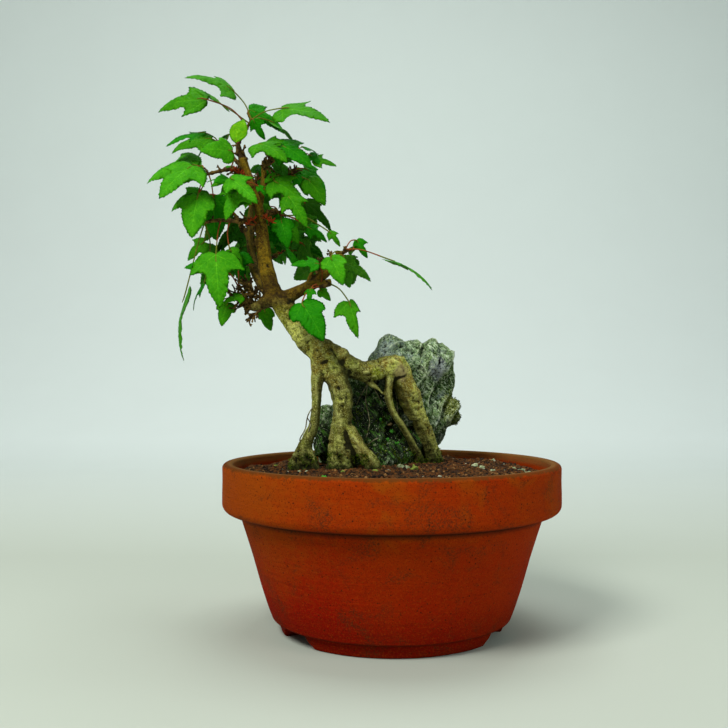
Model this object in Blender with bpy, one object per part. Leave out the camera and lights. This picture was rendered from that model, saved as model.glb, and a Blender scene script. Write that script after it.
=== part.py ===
"""Maple bonsai that grows over a rock, in a round terracotta pot.

Metres, +Z up, front towards -Y, standing on z = 0.
The places below are in millimetres from the pot's axis, at the level of its feet.
The crown leans far out to the left, so the middle of the whole plant's box lies left of the pot's axis.
"""
import math
import random

import bmesh
import bpy
from mathutils import Vector, noise
from mathutils.bvhtree import BVHTree

MM = 0.001
GAP = 0.3
# A cutter is this much wider than its limb, in mm and as a ratio that takes in the limb's lumps
CUTTER_GROWTH = 0.36
CUTTER_RATIO = 1.09

# Where the pot's axis stands in the part's own frame, whose origin is the middle of the box's bottom
POT_AXIS = (22.3, 0.0)

# Pot
RIM_RADIUS = 92.5
POT_HEIGHT = 91.0
COLLAR_BOTTOM = 65.5
WALL = 6.0
SHOULDER_RADIUS = 82.5
BODY_BOTTOM_RADIUS = 65.5
FOOT_HEIGHT = 7.0
FOOT_OUTER = 60.5
FOOT_INNER = 52.0
FLOOR_TOP = 15.0
DRAIN_RADIUS = 12.0
POT_SEGMENTS = 42
NOTCH_BEARINGS = (-146.0, -26.0, 94.0)
NOTCH_WIDTH = 24.0

# Soil
SOIL_LEVEL = 89.0
SOIL_PLATEAU = 66.0
SOIL_EDGE_LEVEL = 85.0
SOIL_INSET = 0.4
SOIL_RINGS = (75.0, 66.0, 56.0, 46.0, 35.0, 12.0)
SOIL_LUMP_HEIGHT = 3.2
SOIL_LUMP_SIZE = 8.5
SOIL_LUMP_SINK = 0.7
# The ellipse that the roots' feet and the rock stand on: its middle and its half-widths
FEET_CENTRE = (-7.0, 10.0)
FEET_REACH = (46.0, 43.0)

# Limbs: points on the centre line, each with the limb's radius there; those of a root run up from below the
# soil, which cuts it off flat
LIMB_STEP = 5.5
LIMB_SIDES = 10
LIMB_LUMPS = 0.16
TRUNK = [(-25, -17, 80, 10.0), (-26, -16, 93, 8.0), (-27.4, -15, 103, 6.5), (-26.6, -14, 119, 5.5),
         (-29.2, -13, 135, 6.2), (-36, -12, 148, 7.8), (-46, -12, 159, 7.0), (-56, -12, 172, 5.9),
         (-64, -12, 182.5, 5.3), (-66, -12.4, 188, 4.8)]
TRUNK_SIDE_FOOT = [(-7, -23, 80, 5.4), (-10, -22, 90, 4.6), (-16, -19, 99, 3.8), (-23, -16, 110, 3.6)]
ROOT_LEFT = [(-50, -16, 80, 7.0), (-48.2, -16, 94, 5.2), (-45.6, -15.5, 103, 3.6), (-42, -15, 112, 2.8),
             (-40.6, -14.5, 123, 2.6), (-40.4, -14, 134, 3.1), (-39.8, -13.5, 144, 4.3), (-39, -13, 153, 5.4)]
ROOT_LEFT_SIDE = [(-40.5, -20, 82, 2.4), (-41.5, -19, 92, 2.0), (-45.5, -16.5, 102, 1.8)]
ROOT_ARCH = [(-38, -11, 150, 7.5), (-31.5, -9.5, 148, 8.0), (-24.5, -8, 144, 6.6), (-16, -6, 141, 5.8),
             (-8, -4, 141.6, 5.8), (0, -1, 144, 6.0), (5, 1, 142, 5.6)]
ROOT_RIGHT = [(25.8, 16, 80, 5.6), (24.8, 15.5, 90, 4.7), (22, 13.5, 99.5, 4.5), (18.2, 11, 109, 5.2),
              (13.2, 7.5, 119, 6.0), (9.4, 5, 129, 6.5), (5.8, 3.5, 138, 6.6), (1.5, 2.5, 147, 5.8)]
ROOT_INNER = [(18.5, 12, 80, 3.0), (16.6, 11, 91, 2.5), (13.5, 9, 97.5, 2.2), (10, 6.5, 104, 2.1),
              (6, 4, 111, 2.1), (1.2, 0, 118, 2.1), (-1.4, -3, 126, 2.1),
              (-1.2, -4, 134, 2.3), (0, -3, 141, 2.6)]
LEADER = [(-63.5, -12.5, 180, 5.4), (-67, -13, 193, 4.5), (-69.3, -14, 205, 4.0), (-70.4, -14, 216, 3.5),
          (-71.6, -14, 227, 3.0), (-74.4, -14, 237, 2.7), (-78.4, -13.5, 248, 2.4), (-80.6, -13, 256.5, 2.2)]
SPUR_RIGHT = [(-72, -13, 231, 2.4), (-71, -10, 237, 1.9), (-70, -8.5, 243, 1.7), (-69.8, -8, 249, 1.5),
              (-70.6, -8, 253.5, 1.2)]
REAR_STEM = [(-64, -10, 181, 4.2), (-71, -3, 190, 3.5), (-77, 3, 202, 3.0), (-79, 7, 215, 2.5),
             (-79.5, 10, 227, 2.1), (-79, 12, 236, 1.7)]
BOUGH_RIGHT = [(-60, -12, 179, 4.4), (-52, -12, 183.5, 3.5), (-43, -12, 188, 3.0), (-35, -12, 195, 2.5),
               (-28, -12, 203, 2.1)]
BOUGH_LEFT = [(-62, -11.5, 180, 4.2), (-69, -11, 177.5, 3.2), (-75, -10.5, 176, 2.7), (-80, -10, 178, 2.2)]

# Rock: rounded lobes, each a centre and three half-widths
ROCK_LOBES = [((5, 26, 116), (24, 20, 34)), ((1, 23, 143), (13, 16, 18)), ((12, 27, 142), (9, 14, 17)),
              ((24, 30, 141), (13.5, 18, 18)), ((22, 31, 117), (13.5, 17, 20)),
              ((33.5, 27, 116), (7, 9, 8.5)),
              ((-20, 13, 104), (20, 20, 23)), ((-36, 9, 104), (7.5, 12, 17)), ((-14, 18, 92), (28, 24, 17)),
              ((6, 32, 92), (23, 17, 16)), ((-12, 17, 127), (15, 16, 17))]
# Where the rock is hollowed out: place, reach, depth
ROCK_HOLLOWS = [((29, 13, 132), 6.5, 4.5), ((19, 12, 128), 5.0, 2.5), ((-8, -2, 110), 10.0, 3.5)]
ROCK_GRAIN = 1.8
# Its relief: plates that rise across their width and break off, in patches, bent, with lumps over them
PLATE_ACROSS = Vector((0.80, 0.15, -0.58))
PLATE_WIDTH = 10.5
PLATE_RISE = 0.75
PLATE_RELIEF = 3.0
PLATE_PATCH_SIZE = 17.0
BEND_SIZE = 22.0
BEND_REACH = 7.0
LUMP_SIZE = 11.0
LUMP_RELIEF = 3.0
ROCK_TRIANGLES = 1250

# Leaves
LEAF_THICKNESS = 1.0
LEAF_MIDDLE = 0.38
LEAF_HALF_OUTLINE = [(0.30, 0.02), (0.45, 0.31), (0.25, 0.38), (0.17, 0.70)]
LEAF_CAMBER = 0.09
LEAF_FOLD = 0.22
PETIOLE_RADIUS = 0.55
PETIOLE_SINK = 0.16
LEAF_CLEARANCE = 0.7
DEPTH_TRIES = (0.0, -3.0, 3.0, -6.0, 6.0, -9.0, 9.0)

FRONT = Vector((0.0, -0.85, 0.55))
REAR = Vector((0.0, 0.85, 0.55))
SKY = Vector((0.0, -0.66, 0.75))

# Sprays of leaves: the limb each grows on, the side its leaves face, how many leaves the seeded rule adds,
# its stem's centre line, and its leading leaves.  A leading leaf is where its blade starts (x, y, z), where
# its tip is (x, y, z) and how far the blade is rolled about its own length, in degrees.
SPRAYS = {
    "leaves_apex": dict(
        limb="leader", facing=SKY, seeded=1,
        stem=[(-80.6, -12, 254), (-84, -10, 262.5), (-82, -9, 269), (-76.5, -10, 278)],
        leading=[
            (-86, -14, 293, -110, -26, 297, 0), (-101, -12, 289, -130, -2, 285, -15),
            (-95, -4, 289, -108, 12, 300, 40), (-84, -20, 263, -80, -17, 277, 0),
            (-79, -2, 286, -59, 10, 276, 20), (-60, -12, 284, -33, -22, 274, 0),
            (-75, -14, 277, -69, -10, 267, 60)]),
    "leaves_upper_left": dict(
        limb="leader", facing=SKY, seeded=1,
        stem=[(-79.4, -13, 250), (-86, -8, 257), (-94, -4, 264)],
        leading=[
            (-99, -6, 269, -121, -8, 261, 0), (-101, 2, 270, -110, 6, 258, 20),
            (-91, 4, 274, -101, 10, 267, 30)]),
    "leaves_upper_right": dict(
        limb="spur_right", facing=SKY, seeded=0,
        stem=[(-70.2, -8, 252), (-65, -9, 257), (-57, -9, 258.5), (-50, -10, 257)],
        leading=[
            (-68, -2, 266, -49, 4, 268, 0), (-60, -14, 263, -42, -18, 250, 10),
            (-72, -18, 263, -55, -28, 251, 0), (-43, -8, 257, -30, -4, 254, 20)]),
    "leaves_left": dict(
        limb="leader", facing=FRONT, seeded=0,
        stem=[(-77.2, -13.5, 244.5), (-83, -12, 250), (-90, -11, 250.5), (-102, -10, 248)],
        leading=[
            (-107, -18, 251, -122, -33, 231, 0), (-107, -5, 254, -137, 2, 246, 10),
            (-106, -2, 240, -124, 6, 231, 0), (-104, -18, 236, -106, -26, 211, 0),
            (-98, -5, 237, -98, 4, 214, 0), (-85, -19, 258, -101, -28, 256, -25)]),
    "leaves_front": dict(
        limb="leader", facing=FRONT, seeded=0,
        stem=[(-73.6, -14, 234.5), (-78, -18, 239), (-83, -21, 243)],
        leading=[
            (-86, -27, 243, -70, -35, 227, 0), (-81, -23, 237, -88, -29, 220, 0),
            (-75, -20, 233, -87, -17, 225, 25), (-88, -19, 243, -96, -26, 238, 0)]),
    "leaves_right": dict(
        limb="spur_right", facing=FRONT, seeded=1,
        stem=[(-70.2, -8.5, 241.5), (-65, -8, 245.5), (-57, -8, 246.5)],
        leading=[
            (-64, -14, 244, -47, -17, 230, 0), (-56, -18, 235, -45, -23, 217, 0),
            (-54, -3, 253, -46, -1, 238, 0), (-46, -8, 246, -36, -6, 232, 0),
            (-71, -1, 256, -70, -8, 246, 0)]),
    "leaves_lower_right": dict(
        limb="leader", facing=FRONT, seeded=0,
        stem=[(-71.2, -14, 223), (-66, -10, 227), (-58, -8, 226)],
        leading=[
            (-60, -13, 223, -56, -16, 207, 0), (-58, -6, 223, -51, -4, 211, 10),
            (-68, 0, 222, -61, 5, 212, 0), (-66, 6, 219, -62, 9, 208, 0),
            (-46, -7, 220, -35, -4, 212, 0), (-34, -9, 217, -28, -7, 209, 0)]),
    "leaves_lower_left": dict(
        limb="leader", facing=FRONT, seeded=0,
        stem=[(-71, -14, 220.5), (-82, -12, 222), (-93, -10.5, 223), (-102, -10, 222)],
        leading=[
            (-94, -21, 203, -91, -27, 174, 0), (-88, -13, 207, -81, -12, 198, 0),
            (-103, -5, 212, -113, -1, 202, 0), (-111, -15, 184, -112, -15, 145, 78),
            (-104, 3, 190, -112, 8, 175, 50)]),
    "leaves_low": dict(
        limb="bough_left", facing=FRONT, seeded=2,
        stem=[(-78.5, -10, 177.5), (-80, -12, 183), (-83, -12, 186)],
        leading=[
            (-84, -7, 205, -82, -3, 188, 20), (-89, -11, 178, -92, -14, 165, 0),
            (-80, -17, 181, -90, -23, 177, 0), (-70, -2, 175, -67, 2, 163, 30)]),
    "leaves_bough_tip": dict(
        limb="bough_right", facing=FRONT, seeded=0,
        stem=[(-28.6, -12, 202.5), (-25, -12, 207)],
        leading=[
            (-33, -20, 202, -26, -25, 186, 0), (-3, -12, 202, 22, -18, 184, -52),
            (-19, -6, 213, -13, -4, 203, 30)]),
    "leaves_bough_low": dict(
        limb="bough_right", facing=FRONT, seeded=0,
        stem=[(-43, -12, 188), (-38.5, -16, 186.5), (-33, -17, 187.5)],
        leading=[
            (-39, -17, 198, -54, -21, 197, 0), (-23, -18, 178, -18, -21, 158, 0),
            (-48, -26, 177, -36, -33, 156, 0), (-39, -10, 185, -33, -8, 179, 0)]),
    "leaves_rear_top": dict(
        limb="rear_stem", facing=REAR, seeded=6,
        stem=[(-79.1, 11.5, 234.5), (-78, 16, 248), (-74, 20, 259)],
        leading=[]),
    "leaves_rear_left": dict(
        limb="rear_stem", facing=REAR, seeded=6,
        stem=[(-79, 6.5, 214), (-88, 15, 229), (-96, 19, 238)],
        leading=[]),
    "leaves_rear_right": dict(
        limb="rear_stem", facing=REAR, seeded=6,
        stem=[(-78.5, 5, 210), (-67, 13, 226), (-58, 17, 238)],
        leading=[]),
    "leaves_rear_middle": dict(
        limb="rear_stem", facing=REAR, seeded=9,
        stem=[(-79.5, 9.5, 225), (-78, 22, 223), (-77, 35, 221)],
        leading=[]),
    "leaves_rear_low_left": dict(
        limb="rear_stem", facing=REAR, seeded=8,
        stem=[(-75.5, 1.5, 199), (-86, 11, 204), (-95, 17, 206)],
        leading=[]),
    "leaves_rear_low_right": dict(
        limb="rear_stem", facing=REAR, seeded=8,
        stem=[(-76.5, 2.5, 201), (-67, 13, 206), (-60, 19, 212)],
        leading=[]),
    "leaves_rear_bough": dict(
        limb="bough_right", facing=REAR, seeded=6,
        stem=[(-42, -12, 188.8), (-40, -2, 194), (-36, 9, 198)],
        leading=[]),
}
STEM_RADII = (1.3, 0.8)
STEM_STEP = 4.0
STEM_SIDES = 6


def clear_scene():
    """Remove whatever the file holds already."""
    for item in list(bpy.data.objects):
        bpy.data.objects.remove(item, do_unlink=True)


def material(name, colour, roughness):
    """A plain Principled material."""
    made = bpy.data.materials.new(name)
    made.use_nodes = True
    shader = made.node_tree.nodes["Principled BSDF"]
    shader.inputs["Base Color"].default_value = (*colour, 1.0)
    shader.inputs["Roughness"].default_value = roughness
    shader.inputs["Metallic"].default_value = 0.0
    made.diffuse_color = (*colour, 1.0)
    return made


def mesh_from(name, points, faces):
    """A mesh with its faces pointing out, from places in millimetres about the pot's axis."""
    mesh = bpy.data.meshes.new(name)
    shifted = [((p[0] + POT_AXIS[0]) * MM, (p[1] + POT_AXIS[1]) * MM, p[2] * MM) for p in points]
    mesh.from_pydata(shifted, [], faces)
    work = bmesh.new()
    work.from_mesh(mesh)
    bmesh.ops.recalc_face_normals(work, faces=work.faces)
    work.to_mesh(mesh)
    work.free()
    return mesh


def add_object(name, points, faces, made=None, collection=None):
    """A new object in the scene, or in a collection of its own kind."""
    made_object = bpy.data.objects.new(name, mesh_from(name, points, faces))
    (collection or bpy.context.scene.collection).objects.link(made_object)
    if made:
        made_object.data.materials.append(made)
    return made_object


def smooth_line(points, step):
    """Points about one step apart on a smooth curve through the given ones, radius included."""
    line = [Vector(p) for p in points]
    line.insert(0, line[0] * 2 - line[1])
    line.append(line[-1] * 2 - line[-2])
    made = []
    for a, b, c, d in zip(line, line[1:], line[2:], line[3:]):
        count = max(1, round((c - b).length / step))
        for k in range(count):
            t = k / count
            made.append(0.5 * (2 * b + (c - a) * t + (2 * a - 5 * b + 4 * c - d) * t * t
                               + (3 * b - a - 3 * c + d) * t ** 3))
    made.append(line[-2])
    return made


def swept(line, sides, lumps=0.0):
    """Points and faces of a round limb along a line of places with their radii, closed at both ends."""
    places = [Vector(p[:3]) for p in line]
    across = Vector((1.0, 0.0, 0.0))
    points = []
    faces = []
    for k, place in enumerate(places):
        along = (places[min(k + 1, len(places) - 1)] - places[max(k - 1, 0)]).normalized()
        across = (across - along * across.dot(along)).normalized()
        other = along.cross(across)
        for s in range(sides):
            turn = 2 * math.pi * s / sides
            outward = math.cos(turn) * across + math.sin(turn) * other
            lump = 1.0 + lumps * noise.noise(place * 0.11 + outward * 0.9)
            points.append(place + outward * (line[k][3] * lump))
    for k in range(len(places) - 1):
        for s in range(sides):
            t = (s + 1) % sides
            faces.append((k * sides + s, k * sides + t, (k + 1) * sides + t, (k + 1) * sides + s))
    faces.append(tuple(range(sides)))
    faces.append(tuple(range(len(points) - sides, len(points))))
    return points, faces


def revolved(profile, segments):
    """Points and faces of a closed profile of (radius, height) turned about the upright axis."""
    points = []
    faces = []
    count = len(profile)
    for s in range(segments):
        turn = 2 * math.pi * s / segments
        points += [(r * math.cos(turn), r * math.sin(turn), z) for r, z in profile]
    for s in range(segments):
        t = (s + 1) % segments
        for k in range(count):
            n = (k + 1) % count
            faces.append((s * count + k, s * count + n, t * count + n, t * count + k))
    return points, faces


def apply_modifiers(item):
    """Keep the shape that the object's modifiers give."""
    shape = bpy.data.meshes.new_from_object(item.evaluated_get(bpy.context.evaluated_depsgraph_get()))
    item.modifiers.clear()
    item.data = shape


def is_closed(item):
    """Whether every edge of the shape that the modifiers give has two faces."""
    work = bmesh.new()
    work.from_object(item, bpy.context.evaluated_depsgraph_get())
    closed = all(len(edge.link_faces) == 2 for edge in work.edges)
    work.free()
    return closed


def boolean(item, operation, other=None, collection=None):
    """Join or cut an object with another one or with a whole collection, and remove those."""
    step = item.modifiers.new(operation.lower(), "BOOLEAN")
    step.operation = operation
    if collection:
        step.operand_type = "COLLECTION"
        step.collection = collection
        used = list(collection.objects)
    else:
        step.object = other
        used = [other]
    step.solver = "EXACT"
    if not is_closed(item):
        step.solver = "MANIFOLD"
    apply_modifiers(item)
    for tool in used:
        bpy.data.objects.remove(tool, do_unlink=True)
    if collection:
        bpy.data.collections.remove(collection)


def keep_largest_body(item):
    """Drop the loose scraps and sealed bubbles that cutting and joining leave."""
    work = bmesh.new()
    work.from_mesh(item.data)
    left = set(work.faces)
    bodies = []
    while left:
        body = {left.pop()}
        border = list(body)
        while border:
            for edge in border.pop().edges:
                for face in edge.link_faces:
                    if face not in body:
                        body.add(face)
                        border.append(face)
        left -= body
        bodies.append(body)
    bodies.sort(key=len)
    for body in bodies[:-1]:
        bmesh.ops.delete(work, geom=list(body), context="FACES")
    work.to_mesh(item.data)
    work.free()


def cut_flat(item, level):
    """Cut an object off flat at a level and close it there."""
    work = bmesh.new()
    work.from_mesh(item.data)
    geometry = work.verts[:] + work.edges[:] + work.faces[:]
    cut = bmesh.ops.bisect_plane(work, geom=geometry, dist=0.000001, plane_co=(0, 0, level * MM),
                                 plane_no=(0, 0, -1), clear_outer=True)
    rim = [g for g in cut["geom_cut"] if isinstance(g, bmesh.types.BMEdge)]
    bmesh.ops.contextual_create(work, geom=rim)
    bmesh.ops.recalc_face_normals(work, faces=work.faces)
    work.to_mesh(item.data)
    work.free()


def cut_clear(item, lines):
    """Cut an object clear of the limbs that run along some lines."""
    for line in lines:
        grown = smooth_line([(x, y, z, r * CUTTER_RATIO + CUTTER_GROWTH) for x, y, z, r in line], LIMB_STEP)
        for end, inner in ((0, 1), (-1, -2)):
            outward = (grown[end] - grown[inner]).normalized()
            grown[end] = grown[end] + outward * CUTTER_GROWTH
        boolean(item, "DIFFERENCE", add_object("cutter", *swept(grown, LIMB_SIDES)))


def limb(name, lines, made, clear_of=(), foot=False):
    """One tapering limb, or several that grow together, cut clear of the limbs it meets."""
    shapes = [swept(smooth_line(line, LIMB_STEP), LIMB_SIDES, LIMB_LUMPS) for line in lines]
    item = add_object(name, *shapes[0], made)
    for shape in shapes[1:]:
        boolean(item, "UNION", add_object("side_root", *shape))
    cut_clear(item, clear_of)
    if foot:
        cut_flat(item, SOIL_LEVEL + GAP)
    keep_largest_body(item)
    return item


def inner_wall():
    """The pot's inside from its floor up to its rim, as (radius, height)."""
    bottom = BODY_BOTTOM_RADIUS - WALL + 1.5
    top = RIM_RADIUS - WALL
    return [(bottom - 3.0, FLOOR_TOP), (bottom, FLOOR_TOP + 3.0), (SHOULDER_RADIUS - WALL, COLLAR_BOTTOM - 4.0),
            (top - 1.0, COLLAR_BOTTOM + 3.0), (top, POT_HEIGHT - 1.6)]


def pot(made):
    """The round pot: foot ring, sloping body, upright collar, drain hole, and notches in the foot."""
    inner_top = RIM_RADIUS - WALL
    profile = [(FOOT_INNER, 0.0), (FOOT_OUTER, 0.0), (FOOT_OUTER + 1.7, FOOT_HEIGHT),
               (BODY_BOTTOM_RADIUS, FOOT_HEIGHT + 2.0), (67.7, 13.5), (75.8, 41.0), (SHOULDER_RADIUS, 62.0),
               (RIM_RADIUS - 4.5, COLLAR_BOTTOM - 0.6), (RIM_RADIUS - 1.4, COLLAR_BOTTOM + 0.8),
               (RIM_RADIUS, COLLAR_BOTTOM + 4.0), (RIM_RADIUS, POT_HEIGHT - 2.0),
               (RIM_RADIUS - 0.7, POT_HEIGHT - 0.5), (RIM_RADIUS - 2.2, POT_HEIGHT),
               (inner_top + 1.6, POT_HEIGHT)]
    profile += reversed(inner_wall())
    profile += [(DRAIN_RADIUS, FLOOR_TOP), (DRAIN_RADIUS, FOOT_HEIGHT), (FOOT_INNER - 1.0, FOOT_HEIGHT)]
    item = add_object("pot", *revolved(profile, POT_SEGMENTS), made)
    for k, bearing in enumerate(NOTCH_BEARINGS):
        cutter = add_object("notch_cutter_%d" % k, *notch(bearing))
        cutter.hide_render = True
        cutter.display_type = "WIRE"
        step = item.modifiers.new("notch_%d" % k, "BOOLEAN")
        step.operation = "DIFFERENCE"
        step.solver = "EXACT"
        step.object = cutter
    item.data.shade_smooth()
    return item


def notch(bearing):
    """A wedge that opens the foot ring, its two edges drawn out in an S towards the ground."""
    half = math.radians(NOTCH_WIDTH / 2)
    middle = math.radians(bearing)
    heights = [-1.0, 0.0, 1.2, 3.0, 4.8, 6.0, FOOT_HEIGHT]
    widening = [1.22, 1.22, 1.16, 1.0, 0.86, 0.78, 0.76]
    points = []
    for z, wide in zip(heights, widening):
        for radius in (FOOT_INNER - 6.0, FOOT_OUTER + 8.0):
            for side in (-1, 1):
                turn = middle + side * half * wide
                points.append((radius * math.cos(turn), radius * math.sin(turn), z))
    faces = [(0, 1, 3, 2)]
    for k in range(len(heights) - 1):
        a = 4 * k
        b = a + 4
        faces += [(a, a + 1, b + 1, b), (a + 1, a + 3, b + 3, b + 1), (a + 3, a + 2, b + 2, b + 3),
                  (a + 2, a, b, b + 2)]
    top = 4 * (len(heights) - 1)
    faces.append((top, top + 1, top + 3, top + 2))
    return points, faces


def soil(made):
    """The soil that fills the pot."""
    wall = [(r - SOIL_INSET, z + SOIL_INSET) for r, z in inner_wall()[:4]]
    rings = [(10.0, FLOOR_TOP + SOIL_INSET)] + wall
    rings += [(r, None) for r in (wall[-1][0],) + SOIL_RINGS]
    segments = POT_SEGMENTS
    points = []
    for r, z in rings:
        for s in range(segments):
            x = r * math.cos(2 * math.pi * s / segments)
            y = r * math.sin(2 * math.pi * s / segments)
            points.append((x, y, soil_surface(x, y) if z is None else z))
    faces = []
    for k in range(len(rings) - 1):
        for s in range(segments):
            t = (s + 1) % segments
            faces.append((k * segments + s, k * segments + t, (k + 1) * segments + t, (k + 1) * segments + s))
    faces.append(tuple(range(segments)))
    faces.append(tuple(range(len(points) - segments, len(points))))
    item = add_object("soil", points, faces, made)
    return item


def soil_surface(x, y):
    """The soil's level: flat where the roots and the rock stand, lumpy round them, lower at the rim."""
    slope = (math.hypot(x, y) - SOIL_PLATEAU) / (RIM_RADIUS - WALL - SOIL_PLATEAU)
    level = SOIL_LEVEL - (SOIL_LEVEL - SOIL_EDGE_LEVEL) * max(slope, 0.0)
    away = math.hypot((x - FEET_CENTRE[0]) / FEET_REACH[0], (y - FEET_CENTRE[1]) / FEET_REACH[1]) - 1.0
    lumpy = min(max(away * 5.0, 0.0), 1.0)
    lump = SOIL_LUMP_HEIGHT * noise.noise(Vector((x, y, 0.0)) / SOIL_LUMP_SIZE) - SOIL_LUMP_SINK
    return level + lumpy * lump


def rock(made, roots):
    """The craggy rock: lobes grown together, roughened, flat underneath and cut clear of the roots on it."""
    points = []
    faces = []
    for centre, half in ROCK_LOBES:
        ball = bmesh.new()
        bmesh.ops.create_icosphere(ball, subdivisions=3, radius=1.0)
        start = len(points)
        points += [[centre[k] + half[k] * v.co[k] for k in range(3)] for v in ball.verts]
        faces += [[start + v.index for v in face.verts] for face in ball.faces]
        ball.free()
    item = add_object("rock", points, faces, made)
    step = item.modifiers.new("grown_together", "REMESH")
    step.mode = "VOXEL"
    step.voxel_size = ROCK_GRAIN * MM
    apply_modifiers(item)
    item.data.materials.clear()
    item.data.materials.append(made)
    for vertex in item.data.vertices:
        vertex.co += vertex.normal * (crag_height(vertex.co / MM - Vector((*POT_AXIS, 0.0))) * MM)
    step = item.modifiers.new("fewer_faces", "DECIMATE")
    item.data.calc_loop_triangles()
    step.ratio = ROCK_TRIANGLES / len(item.data.loop_triangles)
    apply_modifiers(item)
    cut_flat(item, SOIL_LEVEL + GAP)
    cut_clear(item, roots)
    keep_largest_body(item)
    return item


def crag_height(place):
    """Height of the rock's relief: plates that slope down to the left and break off, lumps and hollows."""
    bend = [noise.noise(place / BEND_SIZE + Vector((0.0, 0.0, 30.0 * k))) for k in range(3)]
    share = ((place + Vector(bend) * BEND_REACH).dot(PLATE_ACROSS) / PLATE_WIDTH) % 1.0
    plate = share / PLATE_RISE if share < PLATE_RISE else (1.0 - share) / (1.0 - PLATE_RISE)
    strength = 0.55 + noise.noise(place / PLATE_PATCH_SIZE + Vector((40.0, 0.0, 0.0)))
    lumps = noise.noise(place / LUMP_SIZE)
    hollow = sum(depth * math.exp(-((place - Vector(centre)).length / reach) ** 2)
                 for centre, reach, depth in ROCK_HOLLOWS)
    return PLATE_RELIEF * strength * (plate - 0.6) + LUMP_RELIEF * lumps - hollow


def leaf_shape(base, tip, facing, roll, spread=0.0):
    """Points and faces of one three-lobed leaf, and the line that its petiole follows inside it.

    The blade is thickest in its middle and runs out to a sharp edge.  spread makes it larger and thicker,
    for the test that keeps it clear of other solids.
    """
    along = tip - base
    length = along.length
    along.normalize()
    upper = facing - along * facing.dot(along)
    if upper.length < 0.05:
        upper = Vector((0.0, 0.3, 1.0)) - along * along.z
    upper.normalize()
    turn = math.radians(roll)
    across = along.cross(upper)
    upper = upper * math.cos(turn) + across * math.sin(turn)
    across = along.cross(upper)
    grown = 1.0 + 2.0 * spread / length

    def surface(x, y, raised):
        lift = LEAF_CAMBER * 4.0 * y * (1.0 - y) - LEAF_FOLD * abs(x) ** 1.4
        return (base + along * (length * (0.5 + (y - 0.5) * grown)) + across * (length * x * grown)
                + upper * (length * lift + raised))

    outline = [(0.0, 0.0)] + LEAF_HALF_OUTLINE + [(0.0, 1.0)]
    outline += [(-x, y) for x, y in reversed(LEAF_HALF_OUTLINE)]
    points = [surface(x, y, 0.0) for x, y in outline]
    count = len(points)
    for side in (1.0, -1.0):
        points.append(surface(0.0, LEAF_MIDDLE, side * (LEAF_THICKNESS / 2 + 2.0 * spread)))
    faces = []
    for k in range(count):
        faces.append((k, (k + 1) % count, count))
        faces.append(((k + 1) % count, k, count + 1))
    inside = [surface(0.0, 0.02, 0.0), surface(0.0, PETIOLE_SINK, 0.0)]
    return points, faces, inside


def petiole_line(start, inside):
    """The leaf stalk: out of the twig, over in an arc that comes round behind the blade, and on into it."""
    reach = inside[0] - start
    root = start - reach.normalized() * PETIOLE_RADIUS
    blade = (inside[1] - inside[0]).normalized()
    middle = start + reach * 0.55 + (Vector((0.0, 0.0, 0.1)) - blade * 0.22) * reach.length
    return [(*root, PETIOLE_RADIUS), (*middle, PETIOLE_RADIUS), (*inside[0], PETIOLE_RADIUS),
            (*inside[1], PETIOLE_RADIUS * 0.8)]


def stem_line(points):
    """A spray's stem, thinning from its limb to its tip."""
    first, last = STEM_RADII
    top = len(points) - 1
    return [(*p, first + (last - first) * k / top) for k, p in enumerate(points)]


def direction(bearing, climb):
    """A unit vector from a bearing round the upright axis and a climb above level, in degrees."""
    turn = math.radians(bearing)
    rise = math.radians(climb)
    return Vector((math.cos(turn) * math.cos(rise), math.sin(turn) * math.cos(rise), math.sin(rise)))


def seeded_leaves(name, stem, facing, count):
    """Leaves in opposite pairs along the outer part of a stem, each pair turned against the last."""
    rng = random.Random(name)
    places = [Vector(p[:3]) for p in smooth_line(stem, 2.0)]
    outward = math.degrees(math.atan2(places[-1].y - places[0].y, places[-1].x - places[0].x))
    made = []
    for k in range(count):
        at = places[round((len(places) - 1) * (0.45 + 0.55 * (k + 1) / count))]
        bearing = outward + (-1) ** k * (25 + 80 * ((k // 2) % 2)) + rng.uniform(-18, 18)
        climb = rng.uniform(0, 45)
        base = at + direction(bearing, climb) * rng.uniform(9, 16)
        hang = climb - rng.uniform(35, 85)
        tip = base + direction(bearing + rng.uniform(-25, 25), hang) * rng.uniform(18, 26)
        outer = (facing + direction(bearing, 0) * 0.7).normalized()
        made.append((at, base, tip, outer, rng.uniform(-20, 20)))
    return made


def leading_leaves(stem, facing, leaves):
    """The leaves that give the crown its outline, each on the nearest part of the stem's outer half."""
    places = [Vector(p[:3]) for p in smooth_line(stem, 2.0)]
    outer_half = places[len(places) // 2:]
    made = []
    for x, y, z, tip_x, tip_y, tip_z, roll in leaves:
        base = Vector((x, y, z))
        at = min(outer_half, key=lambda p: (p - base).length)
        made.append((at, base, Vector((tip_x, tip_y, tip_z)), facing, roll))
    return made


def shape_tree(points, faces):
    """A search tree over a shape in millimetres."""
    return BVHTree.FromPolygons([tuple(p) for p in points], faces)


def object_tree(item):
    """A search tree over an object, in millimetres about the pot's axis."""
    shift = Vector((POT_AXIS[0], POT_AXIS[1], 0.0))
    points = [vertex.co / MM - shift for vertex in item.data.vertices]
    return BVHTree.FromPolygons(points, [tuple(face.vertices) for face in item.data.polygons])


def is_clear(shapes, others):
    """Whether none of the shapes cuts any of the solids."""
    trees = [shape_tree(points, faces) for points, faces in shapes]
    return not any(tree.overlap(other) for tree in trees for other in others)


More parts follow.
